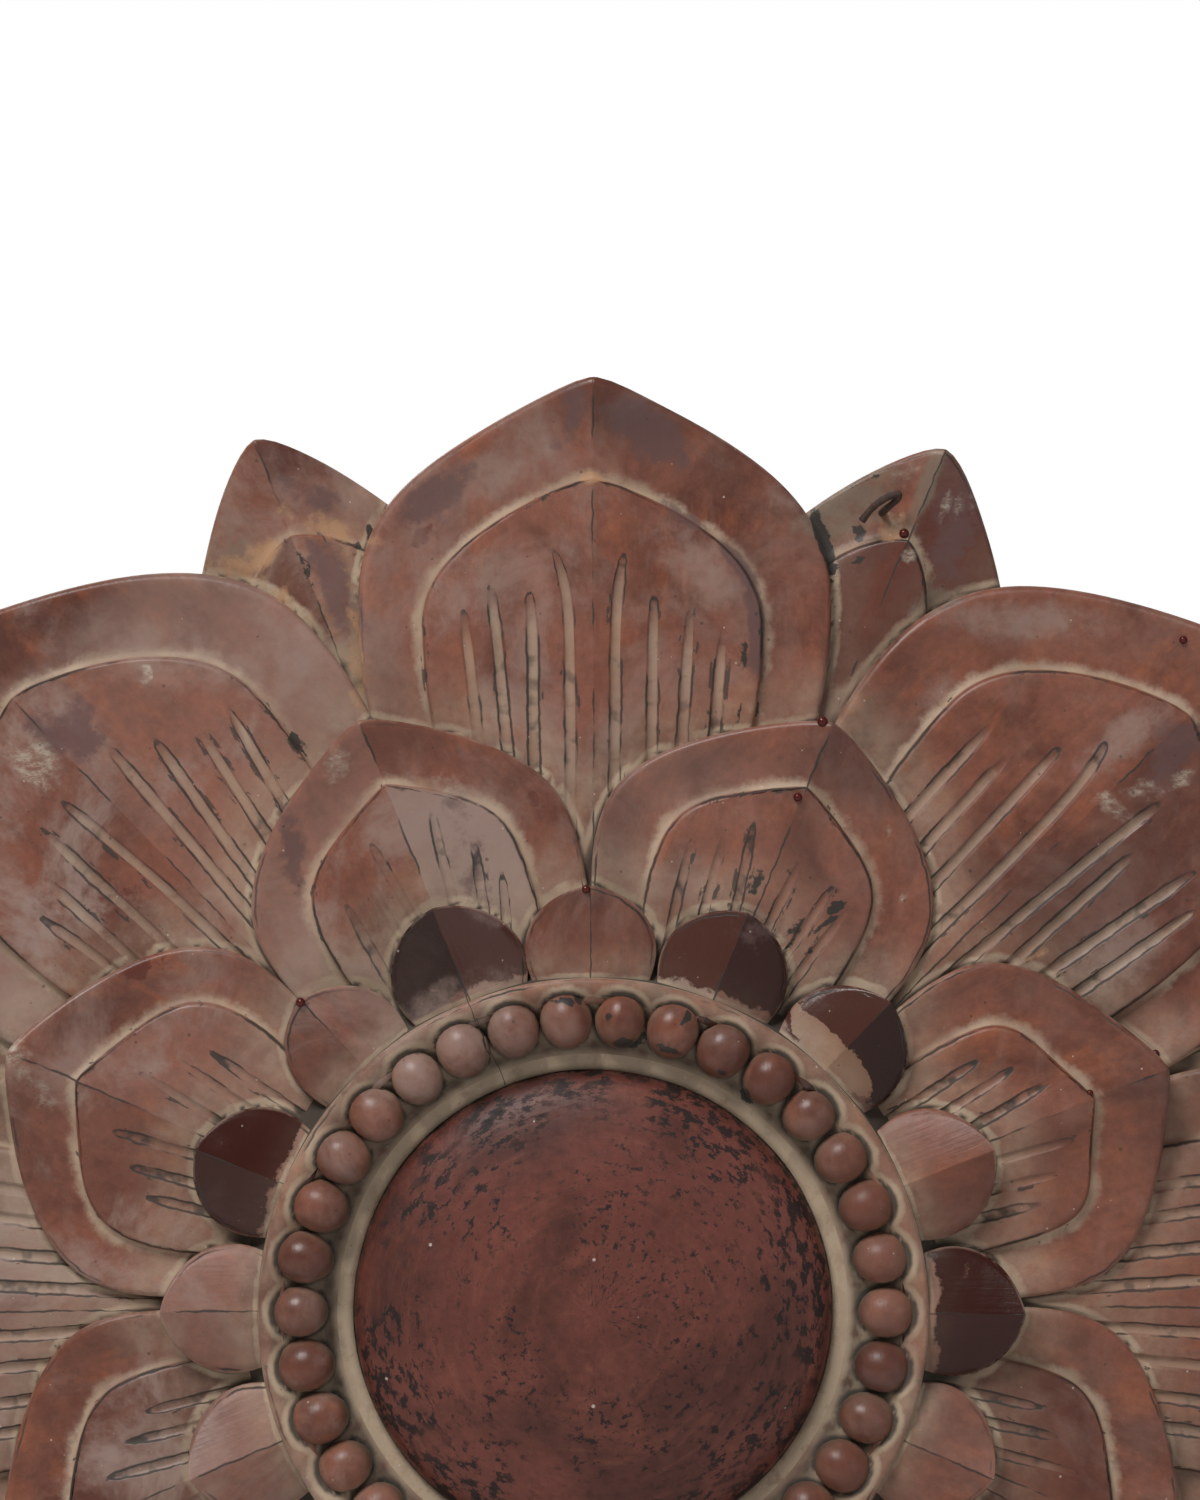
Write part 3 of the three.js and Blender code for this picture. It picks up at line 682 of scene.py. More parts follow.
def turnMiddle(rand):
    m = middle
    beads = [turnBead(m, n, rand) for n in range(m["beadCount"])]
    rims = pointTree([point for bead, (x, z) in beads
                      for point in circlePoints(m["beadRadius"], m["beadSteps"], x, z)])
    bm, layers = newForm()
    spinProfile(bm, ringProfile(), m["sides"])
    fillForm(bm, layers, {})
    for vert in bm.verts:
        radius = math.hypot(vert.co.x, vert.co.z)
        vert[layers["edgeGap"]] = abs(radius - m["ringRadius"])
        near = max(0.0, rims.find((vert.co.x, 0, vert.co.z))[2] - 1)
        vert[layers["restGap"]] = 0.0 if radius > m["ringRadius"] else near
        # painted shade and grime at the cove's outer edge, under the beads
        vert[layers["shadeAndGrime"]] = m["coveShadeAndGrime"] * smooth(*m["coveShadeAndGrimeReach"], abs(radius - m["coveOuter"]))
        # the cove floor takes a vein's pale dust, partly dust and partly painted light
        if radius < m["coveOuter"] - m["coveFloorEdge"]:
            vert[layers["restGap"]] = m["coveRest"]
            vert[layers["veinGap"]] = m["coveVein"]
    return [finishForm("ring", bm)] + [bead for bead, place in beads]


# Lacquer drops that ran to the petals' tips and hardened there: right of and above the middle, and radius
lacquerDrops = [
    (141, 363, 3.4), (126, 316.5, 2.8), (-4.3, 260.3, 2.7), (-179, 191, 3.0), (348.6, 157.3, 2.6),
    (306, 134, 2.4), (364, 413.4, 2.6), (193, 480, 3.2),
]
dropSink = 0.25          # share of its radius that a drop stands out less than half


def addDrops(carved):
    surface = bmesh.new()
    surface.from_mesh(carved.data)
    tree = BVHTree.FromBMesh(surface)
    surface.free()
    drops = []
    for x, z, radius in lacquerDrops:
        depth = tree.ray_cast(Vector((x * mm, -1, z * mm)), Vector((0, 1, 0)))[0].y / mm
        bm, layers = newForm()
        bmesh.ops.create_icosphere(bm, subdivisions=2, radius=radius)
        bmesh.ops.translate(bm, verts=bm.verts, vec=(x, depth - radius * dropSink, z))
        fillForm(bm, layers, {"leftTone": dropTone, "rightTone": dropTone})
        drops.append(addPiece("drop", bm))
    return drops


# Stains and worn places that the photograph shows, of each kind, the haze partly painted sheen: right of and
# above the rosette's middle, half-length, half-width, turn of the length from upright towards the right in
# degrees, strength
stains = {
    "hazeAndSheen": [(118, 500, 17, 11, 130, 0.8), (63, 463, 42, 28, 130, 0.55), (-60, 520, 60, 20, 60, 0.7),
        (-193, 410, 42, 20, -40, 0.75), (-273, 407, 95, 24, -78, 0.75), (270, 426, 65, 15, 90, 0.8),
        (322, 218, 44, 26, 60, 0.8), (214, 382, 26, 14, 40, 0.5), (326, 352, 42, 15, 50, 0.9),
        (-70, 285, 52, 30, -22, 1.3), (-98, 163, 75, 34, 50, 0.8)],
    "plum": [(34, 543, 42, 17, 124, 1.1), (-12, 551, 24, 11, 20, 0.7), (-97, 503, 36, 14, 48, 0.85),
        (60, 488, 24, 5, 122, 0.7), (90, 460, 24, 6, 142, 1.0), (101, 420, 36, 7, 177, 1.1),
        (-323, 358, 34, 20, -60, 0.7), (360, 345, 34, 13, 45, 1.0), (-187, 287, 35, 8, -12, 0.8),
        (-73, 278, 52, 20, -22, 0.3), (98, 241, 26, 20, 22, 0.4), (-175, 505, 30, 12, 120, 0.7),
        (-158, 445, 44, 16, -20, 0.8), (224, 478, 50, 20, 10, 0.5)],
    "khaki": [(-236, 482, 58, 26, -12, 0.35), (160, 503, 52, 24, 62, 0.8), (207, 512, 40, 8, 20, 1.1),
        (212, 438, 20, 9, 65, 0.9)],
    "ash": [(100, 518, 5, 2, 150, 0.9), (-344, 336, 24, 14, -50, 0.9), (-276, 394, 4, 3, 0, 1.4),
        (322, 310, 17, 7, 130, 0.8), (368, 330, 12, 5, 60, 0.7), (345, 322, 28, 6, 75, 0.6),
        (-159, 338, 15, 10, 20, 0.6), (-98, 327, 22, 12, 100, 0.4), (193, 250, 10, 1.5, -22, 0.9),
        (183, 297, 3, 3, 0, 0.8), (196, 517, 17, 10, 40, 0.6), (225, 496, 14, 3.5, 80, 0.9),
        (196, 466, 7, 5, 90, 0.9), (187, 490, 6, 6, 0, 1.0), (-362, 161, 16, 12, -60, 0.8),
        (-345, 140, 30, 7, -30, 0.5)],
    "ochre": [(-2, 513, 9, 3, 90, 1.3), (273, 216, 5, 2.5, 90, 1.2), (-181, 431, 40, 5, 132, 0.55),
        (-165, 483, 40, 9, 104, 0.6), (-206, 466, 22, 9, 40, 0.55), (-222, 458, 26, 9, 105, 0.5),
        (-148, 415, 64, 5.5, -5, 0.7), (186, 481, 11, 7, 60, 0.7)],
    "soot": [(93, 405, 16, 2.2, 4, 1.0), (91, 378, 13, 2.4, 176, 1.1), (70, 367, 7, 3.5, 0, 1.0),
        (-4, 468, 55, 1.6, 0, 0.8), (-187, 353, 8, 5.5, -40, 0.7), (110, 283, 36, 2.2, 22, 1.1),
        (149, 247, 14, 3, 8, 0.9), (128, 240, 24, 3, 20, 0.7), (139, 232, 20, 3, 24, 0.7),
        # (-143, 477) and (144, 472) are darker bands beside the top petal's flanks, in the gaps under its
        # edges
        (-171, 441, 38, 2.2, -25, 0.5), (-143, 477, 17, 3, 25, 1.1), (171, 512, 8, 4, 62, 0.9),
        (166, 478, 7, 4, 30, 0.9), (165, 464, 8, 4, 60, 0.9), (144, 472, 30, 5, -17, 1.1),
        (94, 132, 6, 4, 130, 1.2), (9, 182, 3, 1.8, 45, 1.2), (21, 165, 13, 3.5, 97, 1.0),
        (46, 162, 10, 3.5, 105, 1.1), (-16, 193, 11, 1.5, 85, 1.0), (78, 149, 7, 2.5, 118, 1.0),
        (57, 181, 3, 1.8, 60, 1.0)],
    "maroon": [(-106, 480, 14, 9, 50, 0.7), (-290, 235, 45, 26, -45, 0.8), (365, 342, 15, 9, 60, 1.0),
        (-36, 315, 8, 5, 0, 0.8), (-187, 446, 38, 10, -33, 1.2), (222, 478, 52, 26, 10, 0.8),
        (180, 440, 44, 16, 22, 0.9), (197, 440, 34, 12, 22, 0.9), (-39, 186, 2.5, 2, 0, 1.2)],
    "bare": [(147, 159, 46, 11, 138, 1.5)],
    "chips": [(70, 385, 50, 42, 0, 1.0), (-95, 410, 45, 18, 5, 0.9), (-225, 335, 60, 50, -43, 1.2),
        (-300, 270, 60, 40, -50, 0.9), (310, 234, 45, 30, 52, 0.8), (100, 280, 62, 52, 22, 1.1)],
}


def carveRosette():
    rand = random.Random(handwork["seed"])
    noise.seed_set(handwork["seed"])   # for the waver, which else starts from the clock
    petals = (backPetal, largePetal, mediumPetal, smallPetal)
    tiers = [[handCarved(petal, i, rand) for i in range(petal["count"])] for petal in petals]
    ring = circlePoints(middle["ringRadius"], middle["ringSteps"])
    forms = []
    for n, petal in enumerate(petals):
        points = [point for tier in tiers[n + 1:] for shape in tier for point in turnedOutline(shape)]
        above = pointTree(points + ring)
        forms += [carvePetal(petal, shape, above) for shape in tiers[n]]
        print("carved", petal["count"], "petals, reach", petal["outline"]["tip"])
    carved = joinForms("lotusCarving", forms + turnMiddle(rand))
    carved = joinForms("lotusCarving", [carved] + addDrops(carved))
    print("rosette carved,", len(carved.data.vertices), "vertices")
    return carved


# Shader building. A sketch keeps one node tree and adds nodes to it by name.
class Sketch:
    def __init__(self, tree):
        self.tree = tree

    def add(self, kind, values=None, **settings):
        node = self.tree.nodes.new(kind)
        for key, value in settings.items():
            setattr(node, key, value)
        for key, value in (values or {}).items():
            self.plug(node.inputs[key], value)
        return node

    def plug(self, socket, value):
        if isinstance(value, bpy.types.NodeSocket):
            self.tree.links.new(value, socket)
        else:
            socket.default_value = value

    def maths(self, operation, *values, clamp=False):
        node = self.add("ShaderNodeMath", operation=operation, use_clamp=clamp)
        for n, value in enumerate(values):
            self.plug(node.inputs[n], value)
        return node.outputs[0]

    def plus(self, a, b):
        return self.maths("ADD", a, b)

    def minus(self, a, b, clamp=False):
        return self.maths("SUBTRACT", a, b, clamp=clamp)

    def times(self, a, b):
        return self.maths("MULTIPLY", a, b)

    def strongest(self, most, *masks):
        for mask in masks:
            most = self.maths("MAXIMUM", most, mask)
        return most

    def ramp(self, value, low, high, dark=0.0, light=1.0):  # a soft step from dark at low to light at high
        node = self.add("ShaderNodeMapRange", {"Value": value, "From Min": low, "From Max": high,
                                               "To Min": dark, "To Max": light},
                        interpolation_type="SMOOTHSTEP")
        return node.outputs["Result"]

    def noise(self, vector, scale, detail=3.0, roughness=0.55, distortion=0.0):
        node = self.add("ShaderNodeTexNoise", {"Vector": vector, "Scale": scale, "Detail": detail,
                                               "Roughness": roughness, "Distortion": distortion})
        return node.outputs["Fac"]

    def stretched(self, vector, scale, shift=(0, 0, 0)):
        node = self.add("ShaderNodeMapping", {"Vector": vector, "Scale": scale, "Location": shift})
        return node.outputs["Vector"]

    def mix(self, factor, below, above, blend="MIX"):
        node = self.add("ShaderNodeMix", {"Factor": factor}, data_type="RGBA", blend_type=blend,
                        clamp_factor=True)
        self.plug(node.inputs[6], below)
        self.plug(node.inputs[7], above)
        return node.outputs[2]

    def value(self, name):   # a number that the mesh carries
        return self.add("ShaderNodeAttribute", attribute_name=name).outputs["Fac"]

    def use(self, group, **values):
        node = self.add("ShaderNodeGroup", node_tree=group)
        for key, value in values.items():
            self.plug(node.inputs[key], value)
        return node.outputs


def newGroup(name, inputs, outputs):
    tree = bpy.data.node_groups.new(name, "ShaderNodeTree")
    for key, kind, start in inputs:
        socket = tree.interface.new_socket(key, in_out="INPUT", socket_type=kind)
        if start is not None:
            socket.default_value = start
    for key, kind in outputs:
        tree.interface.new_socket(key, in_out="OUTPUT", socket_type=kind)
    sketch = Sketch(tree)
    return sketch, sketch.add("NodeGroupInput").outputs, sketch.add("NodeGroupOutput").inputs


number, colour, vector = "NodeSocketFloat", "NodeSocketColor", "NodeSocketVector"


def makeWornLine():      # a thin dark line where lacquer has worn off an edge, thinning out and broken
    s, given, out = newGroup("wornLine", [
        ("Gap", number, 0.0), ("Place", number, 0.0), ("Width", number, 1.0), ("Breaks", number, 0.5),
        ("Vector", vector, None)], [("Mask", number)])
    waver = s.ramp(s.noise(given["Vector"], 90, 2), 0.3, 0.7, -0.45, 0.45)
    off = s.maths("ABSOLUTE", s.minus(s.plus(given["Gap"], waver), given["Place"]))
    thin = s.ramp(s.noise(given["Vector"], 26, 3, 0.5), 0.34, 0.64)
    wide = s.times(given["Width"], s.plus(s.times(thin, 0.9), 0.2))
    line = s.minus(1.0, s.maths("DIVIDE", off, wide), clamp=True)
    regional = s.ramp(s.noise(given["Vector"], 6, 2), 0.35, 0.65, -0.25, 0.35)
    kept = s.ramp(s.minus(thin, s.plus(given["Breaks"], regional)), -0.3, 0.25)
    s.plug(out["Mask"], s.times(s.ramp(line, 0.0, 0.7), kept))
    return s.tree


def makeSpecks():        # scattered dots of paint and grit
    s, given, out = newGroup("specks", [
        ("Vector", vector, None), ("Scale", number, 60.0), ("Size", number, 0.2), ("Share", number, 0.1)],
        [("Mask", number)])
    node = s.add("ShaderNodeTexVoronoi", {"Vector": given["Vector"], "Scale": given["Scale"]})
    parts = s.add("ShaderNodeSeparateColor", {"Color": node.outputs["Color"]})
    size = s.times(given["Size"], s.plus(0.35, parts.outputs[1]))
    dot = s.ramp(s.maths("DIVIDE", node.outputs["Distance"], size), 0.6, 1.0, 1.0, 0.0)
    chosen = s.maths("LESS_THAN", parts.outputs[0], given["Share"])
    s.plug(out["Mask"], s.times(dot, chosen))
    return s.tree


def makeMottle():        # the uneven depth of old lacquer: clouds, blotches, fine mottling, brushed streaks
    s, given, out = newGroup("mottledLacquer", [
        ("Vector", vector, None), ("Grain", vector, None), ("Deep", colour, None), ("Body", colour, None),
        ("Warm", colour, None), ("Bare", colour, None)], [("Color", colour), ("Cloud", number)])
    broad = s.noise(given["Vector"], 9, 5, 0.62, 0.4)
    body = s.mix(s.ramp(broad, 0.36, 0.58, 0.25, 1.0), given["Deep"], given["Body"])
    blotch = s.noise(s.stretched(given["Grain"], (40, 40, 15)), 1.0, 7, 0.66, 0.4)
    body = s.mix(s.ramp(blotch, 0.5, 0.7, 0.0, 0.55), body, given["Warm"])
    body = s.mix(s.ramp(blotch, 0.3, 0.46, 0.4, 0.0), body, given["Deep"])
    streak = s.noise(s.stretched(given["Grain"], (170, 60, 11)), 1.0, 4, 0.65)
    body = s.mix(s.ramp(streak, 0.52, 0.8, 0.0, 0.32), body, given["Bare"])
    fine = s.ramp(s.noise(given["Vector"], 130, 6, 0.8), 0.28, 0.72, 0.82, 1.18)
    s.plug(out["Color"], s.mix(1.0, body, fine, "MULTIPLY"))
    s.plug(out["Cloud"], broad)
    return s.tree


def makeDust():          # dust that lies thick near a corner and thins out away from it, uneven along it
    s, given, out = newGroup("settledDust", [
        ("Gap", number, 0.0), ("Core", number, 1.0), ("Reach", number, 10.0), ("Ragged", number, 3.0),
        ("Vector", vector, None)], [("Mask", number)])
    ragged = s.ramp(s.noise(given["Vector"], 60, 5, 0.7), 0.25, 0.75, -1.0, 1.0)
    gap = s.plus(given["Gap"], s.times(ragged, given["Ragged"]))
    near = s.ramp(gap, given["Core"], given["Reach"], 1.0, 0.0)
    s.plug(out["Mask"], s.times(near, s.ramp(s.noise(given["Vector"], 15, 3), 0.3, 0.5, 0.45, 1.0)))
    return s.tree


def makeSkin():          # the surface's small relief: brushed grain, knife facets, grit and dust
    s, given, out = newGroup("handSkin", [
        ("Vector", vector, None), ("Grain", vector, None), ("Dust", number, 0.0)], [("Height", number)])
    grain = s.noise(s.stretched(given["Grain"], (420, 120, 26)), 1.0, 3, 0.6)
    lumps = s.noise(given["Vector"], 55, 3, 0.5)
    grit = s.noise(given["Vector"], 700, 3, 0.6)
    height = s.plus(s.times(grain, 0.35), s.times(lumps, 0.9))
    gritty = s.plus(0.12, s.times(given["Dust"], 0.5))
    s.plug(out["Height"], s.plus(height, s.times(grit, gritty)))
    return s.tree


redFinish = {
    # the haze colours are partly painted sheen, grime partly painted shade, and edge partly a painted
    # highlight
    "deep": "#4f2d25", "body": "#7a4b3c", "warm": "#90543a", "bare": "#7e5c48",
    "hazeAndSheen": "#927c73", "plum": "#5c4443", "ash": "#aa9d8d", "ochre": "#a68060", "khaki": "#76685a",
    "soot": "#2c2c2a", "maroon": "#5a2c22", "glaze": "#240b05", "glazeBody": "#36130b",
    "glazeHazeAndSheen": "#4a2c24", "dust": "#988470", "dustPale": "#b7a38c", "olive": "#786c54",
    "edge": "#a68c7d", "shadeAndGrime": "#2e251e", "white": "#cfc5b5", "drop": "#4a120c",
    "rawWood": "#8a6a48", "rawWoodDark": "#6b5038",
    "hazeAndSheenFrom": 0.3, "hazeAndSheenFull": -0.45,         # where the hazy side, with its painted sheen, begins and is full, right of the middle
    "crack": {"bearing": -21.7, "from": 0.149, "to": 0.213, "width": 0.0004, "stray": 0.0012},
    "sawnDepth": 0.0016,                        # what lies this close to the back is bare sawn wood
    "plankHalf": 0.08,                          # half the width of the glued planks that show there
    "roughness": (0.3, 0.44), "specular": 0.32, "bump": 0.4, "bumpDepth": 0.0011,
}
stainEdges = {           # where each kind of stain begins to show, where it is full, and its strength there
    "bare": (0.3, 0.4, 0.9), "maroon": (0.3, 0.48, 0.92), "hazeAndSheen": (0.0, 1.1, 0.65),
    "plum": (0.1, 0.6, 0.75), "khaki": (0.1, 0.8, 0.7), "soot": (0.28, 0.42, 0.92),
    "ochre": (0.1, 0.7, 0.85), "ash": (0.1, 0.8, 0.85),
}


def newMaterial(name):   # an empty material, its sketch, and the place on the piece that its patterns follow
    material = bpy.data.materials.new(name)
    material.use_nodes = True
    material.node_tree.nodes.clear()
    sketch = Sketch(material.node_tree)
    return material, sketch, sketch.add("ShaderNodeTexCoord").outputs["Object"]


def addSurface(sketch, relief, strength, depth, **values):  # the shader itself, with the relief as its bump
    bump = sketch.add("ShaderNodeBump", {"Height": relief, "Strength": strength, "Distance": depth})
    surface = sketch.add("ShaderNodeBsdfPrincipled", {"Normal": bump.outputs[0]})
    for key, value in values.items():
        sketch.plug(surface.inputs[key.replace("_", " ")], value)
    sketch.add("ShaderNodeOutputMaterial", {"Surface": surface.outputs[0]})


def crackMask(s, parts, place):  # the open joint of the blank, which stops at the boss
    crack = redFinish["crack"]
    sine, cosine = math.sin(math.radians(crack["bearing"])), math.cos(math.radians(crack["bearing"]))
    across = s.minus(s.times(parts["X"], cosine), s.times(parts["Z"], sine))
    outward = s.plus(s.times(parts["X"], sine), s.times(parts["Z"], cosine))
    across = s.plus(across, s.ramp(s.noise(place, 60, 2), 0.3, 0.7, -crack["stray"], crack["stray"]))
    mask = s.ramp(s.maths("ABSOLUTE", across), 0.4 * crack["width"], crack["width"], 1.0, 0.0)
    mask = s.times(mask, s.maths("GREATER_THAN", outward, crack["from"]))
    return s.times(mask, s.maths("LESS_THAN", outward, crack["to"]))


def sawnWood(s, c, parts, place):  # the back, with the joints between its planks
    saw = s.noise(s.stretched(place, (60, 60, 4)), 1.0, 4, 0.6)
    raw = s.mix(s.ramp(saw, 0.3, 0.7), c["rawWoodDark"], c["rawWood"])
    joint = s.maths("PINGPONG", parts["X"], redFinish["plankHalf"])
    return s.mix(s.ramp(joint, 0.0002, 0.0012, 1.0, 0.0), raw, c["soot"])


def redLacquer(groups):
    material, s, place = newMaterial("wornRedLacquer")
    c = {name: tint(code) for name, code in redFinish.items() if isinstance(code, str)}
    parts = s.add("ShaderNodeSeparateXYZ", {"Vector": place}).outputs
    grainNode = s.add("ShaderNodeAttribute", attribute_name="grain")
    grain = s.stretched(grainNode.outputs["Vector"], (mm, mm, mm))
    gap = {name: s.value(name) for name in gapNames}
    stain = {kind: s.value(kind) for kind in stains}
    mottle = s.use(groups["mottle"], Vector=place, Grain=grain, Deep=c["deep"], Body=c["body"],
                   Warm=c["warm"], Bare=c["bare"])
    cloud = mottle["Cloud"]
    breakup = s.noise(place, 46, 6, 0.7)
    wander = s.ramp(breakup, 0.3, 0.7, -0.34, 0.34)

    def stained(below, kind, strength=None):
        low, high, full = stainEdges[kind]
        mask = s.ramp(s.plus(stain[kind], wander), low, high)
        mask = s.times(mask, full if strength is None else strength)
        return s.mix(s.times(mask, s.ramp(stain[kind], 0.0, 0.12)), below, c[kind])

    def line(name, where, width, breaks):
        return s.use(groups["line"], Gap=gap[name], Place=where, Width=width, Breaks=breaks,
                     Vector=place)["Mask"]

    # lacquer, its dark last coat where that is left, and the haze over it; each face's tone, partly painted
    # shade and sheen on the fold's faces, darkens or hazes it, and the haze, partly painted sheen, grows
    # towards the left
    half = s.maths("GREATER_THAN", s.plus(gap["keelGap"], s.times(wander, 1.2)), 0.0)
    tone = s.add("ShaderNodeMix", {"Factor": half, "A": gap["leftTone"], "B": gap["rightTone"]}).outputs[0]
    skin = s.mix(s.ramp(tone, 0.0, 1.0, 0.0, 0.75), mottle["Color"], c["deep"])
    clouded = s.times(s.ramp(tone, -1.0, 0.0, 0.75, 0.0), s.ramp(cloud, 0.3, 0.5, 0.6, 1.0))
    skin = stained(s.mix(clouded, skin, c["hazeAndSheen"]), "bare")
    coat = s.mix(s.ramp(tone, 0.0, 1.0), c["glazeBody"], c["glaze"])
    coat = s.mix(s.ramp(tone, -1.0, 0.0, 0.9, 0.0), coat, c["glazeHazeAndSheen"])
    foot = s.ramp(s.plus(gap["restGap"], s.times(wander, 24.0)), 7.0, 13.0)
    notBare = s.ramp(s.plus(stain["bare"], wander), 0.3, 0.4, 1.0, 0.0)
    coated = s.times(s.times(gap["glaze"], foot), notBare)
    skin = stained(s.mix(coated, skin, coat), "maroon")
    hazeAndSheenShare = s.ramp(parts["X"], redFinish["hazeAndSheenFrom"], redFinish["hazeAndSheenFull"], 0.16, 0.66)
    hazeAndSheenShare = s.times(hazeAndSheenShare, s.ramp(gap["panelGap"], -2.0, 0.0, 1.45, 1.0))
    hazeAndSheenPatches = s.ramp(s.noise(place, 13, 6, 0.7, 0.5), 0.45, 0.68)
    unglazed = s.minus(1.0, s.times(coated, 0.9))
    skin = stained(s.mix(s.times(s.times(hazeAndSheenPatches, hazeAndSheenShare), unglazed), skin, c["hazeAndSheen"]), "hazeAndSheen")

    # dust in the cuts, beside the panels and at the feet of the petals above
    groove = s.times(s.ramp(gap["veinGap"], -1.6, -0.5, 1.0, 0.0),
                     s.ramp(s.noise(place, 80, 4, 0.7), 0.3, 0.5, 0.6, 1.0))
    recess = s.use(groups["dust"], Gap=gap["panelGap"], Core=1.2, Reach=9.0, Vector=place)["Mask"]
    recess = s.times(recess, s.ramp(gap["panelGap"], 0.2, 1.3))
    atRest = s.use(groups["dust"], Gap=gap["restGap"], Core=3.5, Reach=8.0, Ragged=1.2,
                   Vector=place)["Mask"]
    veil = s.times(s.ramp(gap["restGap"], 4.0, 48.0, 0.42, 0.0), s.ramp(breakup, 0.35, 0.65, 0.4, 1.0))
    veil = s.times(veil, s.times(unglazed, s.ramp(tone, 0.3, 1.0, 1.0, 0.3)))
    dust = s.strongest(s.times(groove, 0.95), s.times(recess, 0.75), s.times(atRest, 0.9), veil)
    dustColour = s.mix(s.strongest(groove, s.ramp(s.noise(place, 24, 3), 0.35, 0.65)), c["dust"],
                       c["dustPale"])
    dustColour = s.mix(s.ramp(s.noise(place, 13, 2), 0.55, 0.75, 0.0, 0.5), dustColour, c["olive"])
    skin = s.mix(dust, skin, dustColour)
    for kind in ("plum", "khaki"):
        skin = stained(skin, kind)
    # painted shade and grime: darker at the cove's outer edge under the beads and on the beads' lower, inward
    # sides
    skin = s.mix(s.times(gap["shadeAndGrime"], s.ramp(breakup, 0.3, 0.6, 0.6, 1.0)), skin, c["shadeAndGrime"])

    # edges: worn pale on the crest, partly a painted highlight along the rounded lip, dark beside it
    crestWearAndHighlight = s.times(s.ramp(gap["edgeGap"], 0.2, 1.7, 0.4, 0.0), s.ramp(breakup, 0.4, 0.6))
    skin = s.mix(crestWearAndHighlight, skin, c["edge"])
    flaked = s.noise(s.stretched(grain, (150, 150, 55)), 1.0, 5, 0.62)
    chipped = s.ramp(s.plus(flaked, s.times(stain["chips"], 0.1)), 0.6, 0.68)
    beside = s.strongest(s.ramp(gap["veinGap"], 0.6, 4.5, 1.0, 0.0),
                         s.ramp(s.maths("ABSOLUTE", gap["panelGap"]), 0.5, 4.5, 1.0, 0.0))
    beside = s.times(beside, s.ramp(gap["veinGap"], -1.0, 0.2))
    beside = s.ramp(s.times(beside, chipped), 0.2, 0.6)
    # besides worn dark lines, chips and the joint, the restGap term is a painted contact shadow: darker at
    # the foot of each tier above, around the beads and at each bead's foot
    dark = s.strongest(line("veinGap", 0.1, 1.05, 0.45), line("panelGap", -0.3, 1.15, 0.35),
                       line("keelGap", 0.0, 1.0, 0.4), line("edgeGap", 2.4, 0.9, 0.85),
                       s.times(beside, 0.9), s.ramp(gap["restGap"], 0.5, 2.9, 1.0, 0.0),
                       crackMask(s, parts, place))
    skin = s.mix(s.times(dark, 0.85), skin, c["soot"])
    for kind in ("soot", "ochre"):
        skin = stained(skin, kind)
    wisps = s.noise(s.stretched(place, (1.0, 1.0, 2.2)), 130, 5, 0.75)
    skin = stained(skin, "ash", s.ramp(wisps, 0.4, 0.6, 0.15, stainEdges["ash"][2]))
    pale = s.use(groups["specks"], Vector=place, Scale=125.0, Size=0.09, Share=0.16)["Mask"]
    skin = s.mix(s.times(pale, 0.45), skin, c["white"])
    black = s.use(groups["specks"], Vector=s.stretched(place, (1, 1, 1), (3, 1, 2)), Scale=120.0, Size=0.13,
                  Share=0.16)["Mask"]
    skin = s.mix(s.times(black, 0.55), skin, c["soot"])

    # drops of hard lacquer, the sawn back, and what all of these do to the gloss and the relief
    drop = s.maths("GREATER_THAN", gap["leftTone"], dropTone - 1)
    behind = s.maths("GREATER_THAN", parts["Y"], -redFinish["sawnDepth"])
    skin = s.mix(behind, s.mix(drop, skin, c["drop"]), sawnWood(s, c, parts, place))
    rough = s.plus(s.ramp(cloud, 0.3, 0.7, *redFinish["roughness"]), s.times(dust, 0.4))
    rough = s.plus(rough, s.times(s.strongest(dark, behind), 0.25))
    rough = s.minus(rough, s.times(s.strongest(drop, coated), 0.14), clamp=True)
    relief = s.use(groups["skin"], Vector=place, Grain=grain, Dust=dust)["Height"]
    addSurface(s, s.minus(relief, s.times(dark, 0.4)), redFinish["bump"], redFinish["bumpDepth"],
               Base_Color=skin, Roughness=rough, Specular_IOR_Level=redFinish["specular"])
    return material


domeFinish = {
    "radius": 147.7, "seat": 56.3, "rim": 69, "height": 103, "edge": 2, "shoulder": 0.7,
    "rows": 26, "sides": 144,
    "waver": 0.7, "waverScale": 0.03,
    "deep": "#40231e", "body": "#653830", "warm": "#764337", "bare": "#805244",
    "black": "#1b1919", "white": "#b9ada0",
    "roughness": (0.42, 0.7), "specular": 0.25, "bump": 0.3, "bumpDepth": 0.001,
}


def turnDome():
    d = domeFinish
    outside, inside = d["radius"], d["radius"] - d["shoulder"]
    profile = [(0, d["seat"]), (outside - d["edge"], d["seat"]), (outside, d["seat"] + d["edge"]),
               (outside, d["rim"] - d["edge"])]
    for n in range(d["rows"]):
        turn = n / d["rows"] * math.pi / 2
        profile.append((inside * math.cos(turn), d["rim"] + (d["height"] - d["rim"]) * math.sin(turn)))
    profile.append((0, d["height"]))
    bm = bmesh.new()
    spinProfile(bm, profile, d["sides"])
    for vert in bm.verts:
        if -vert.co.y > d["rim"]:
            vert.co.y += noise.noise(vert.co * d["waverScale"]) * d["waver"]
    return addPiece("domedBoss", bm)


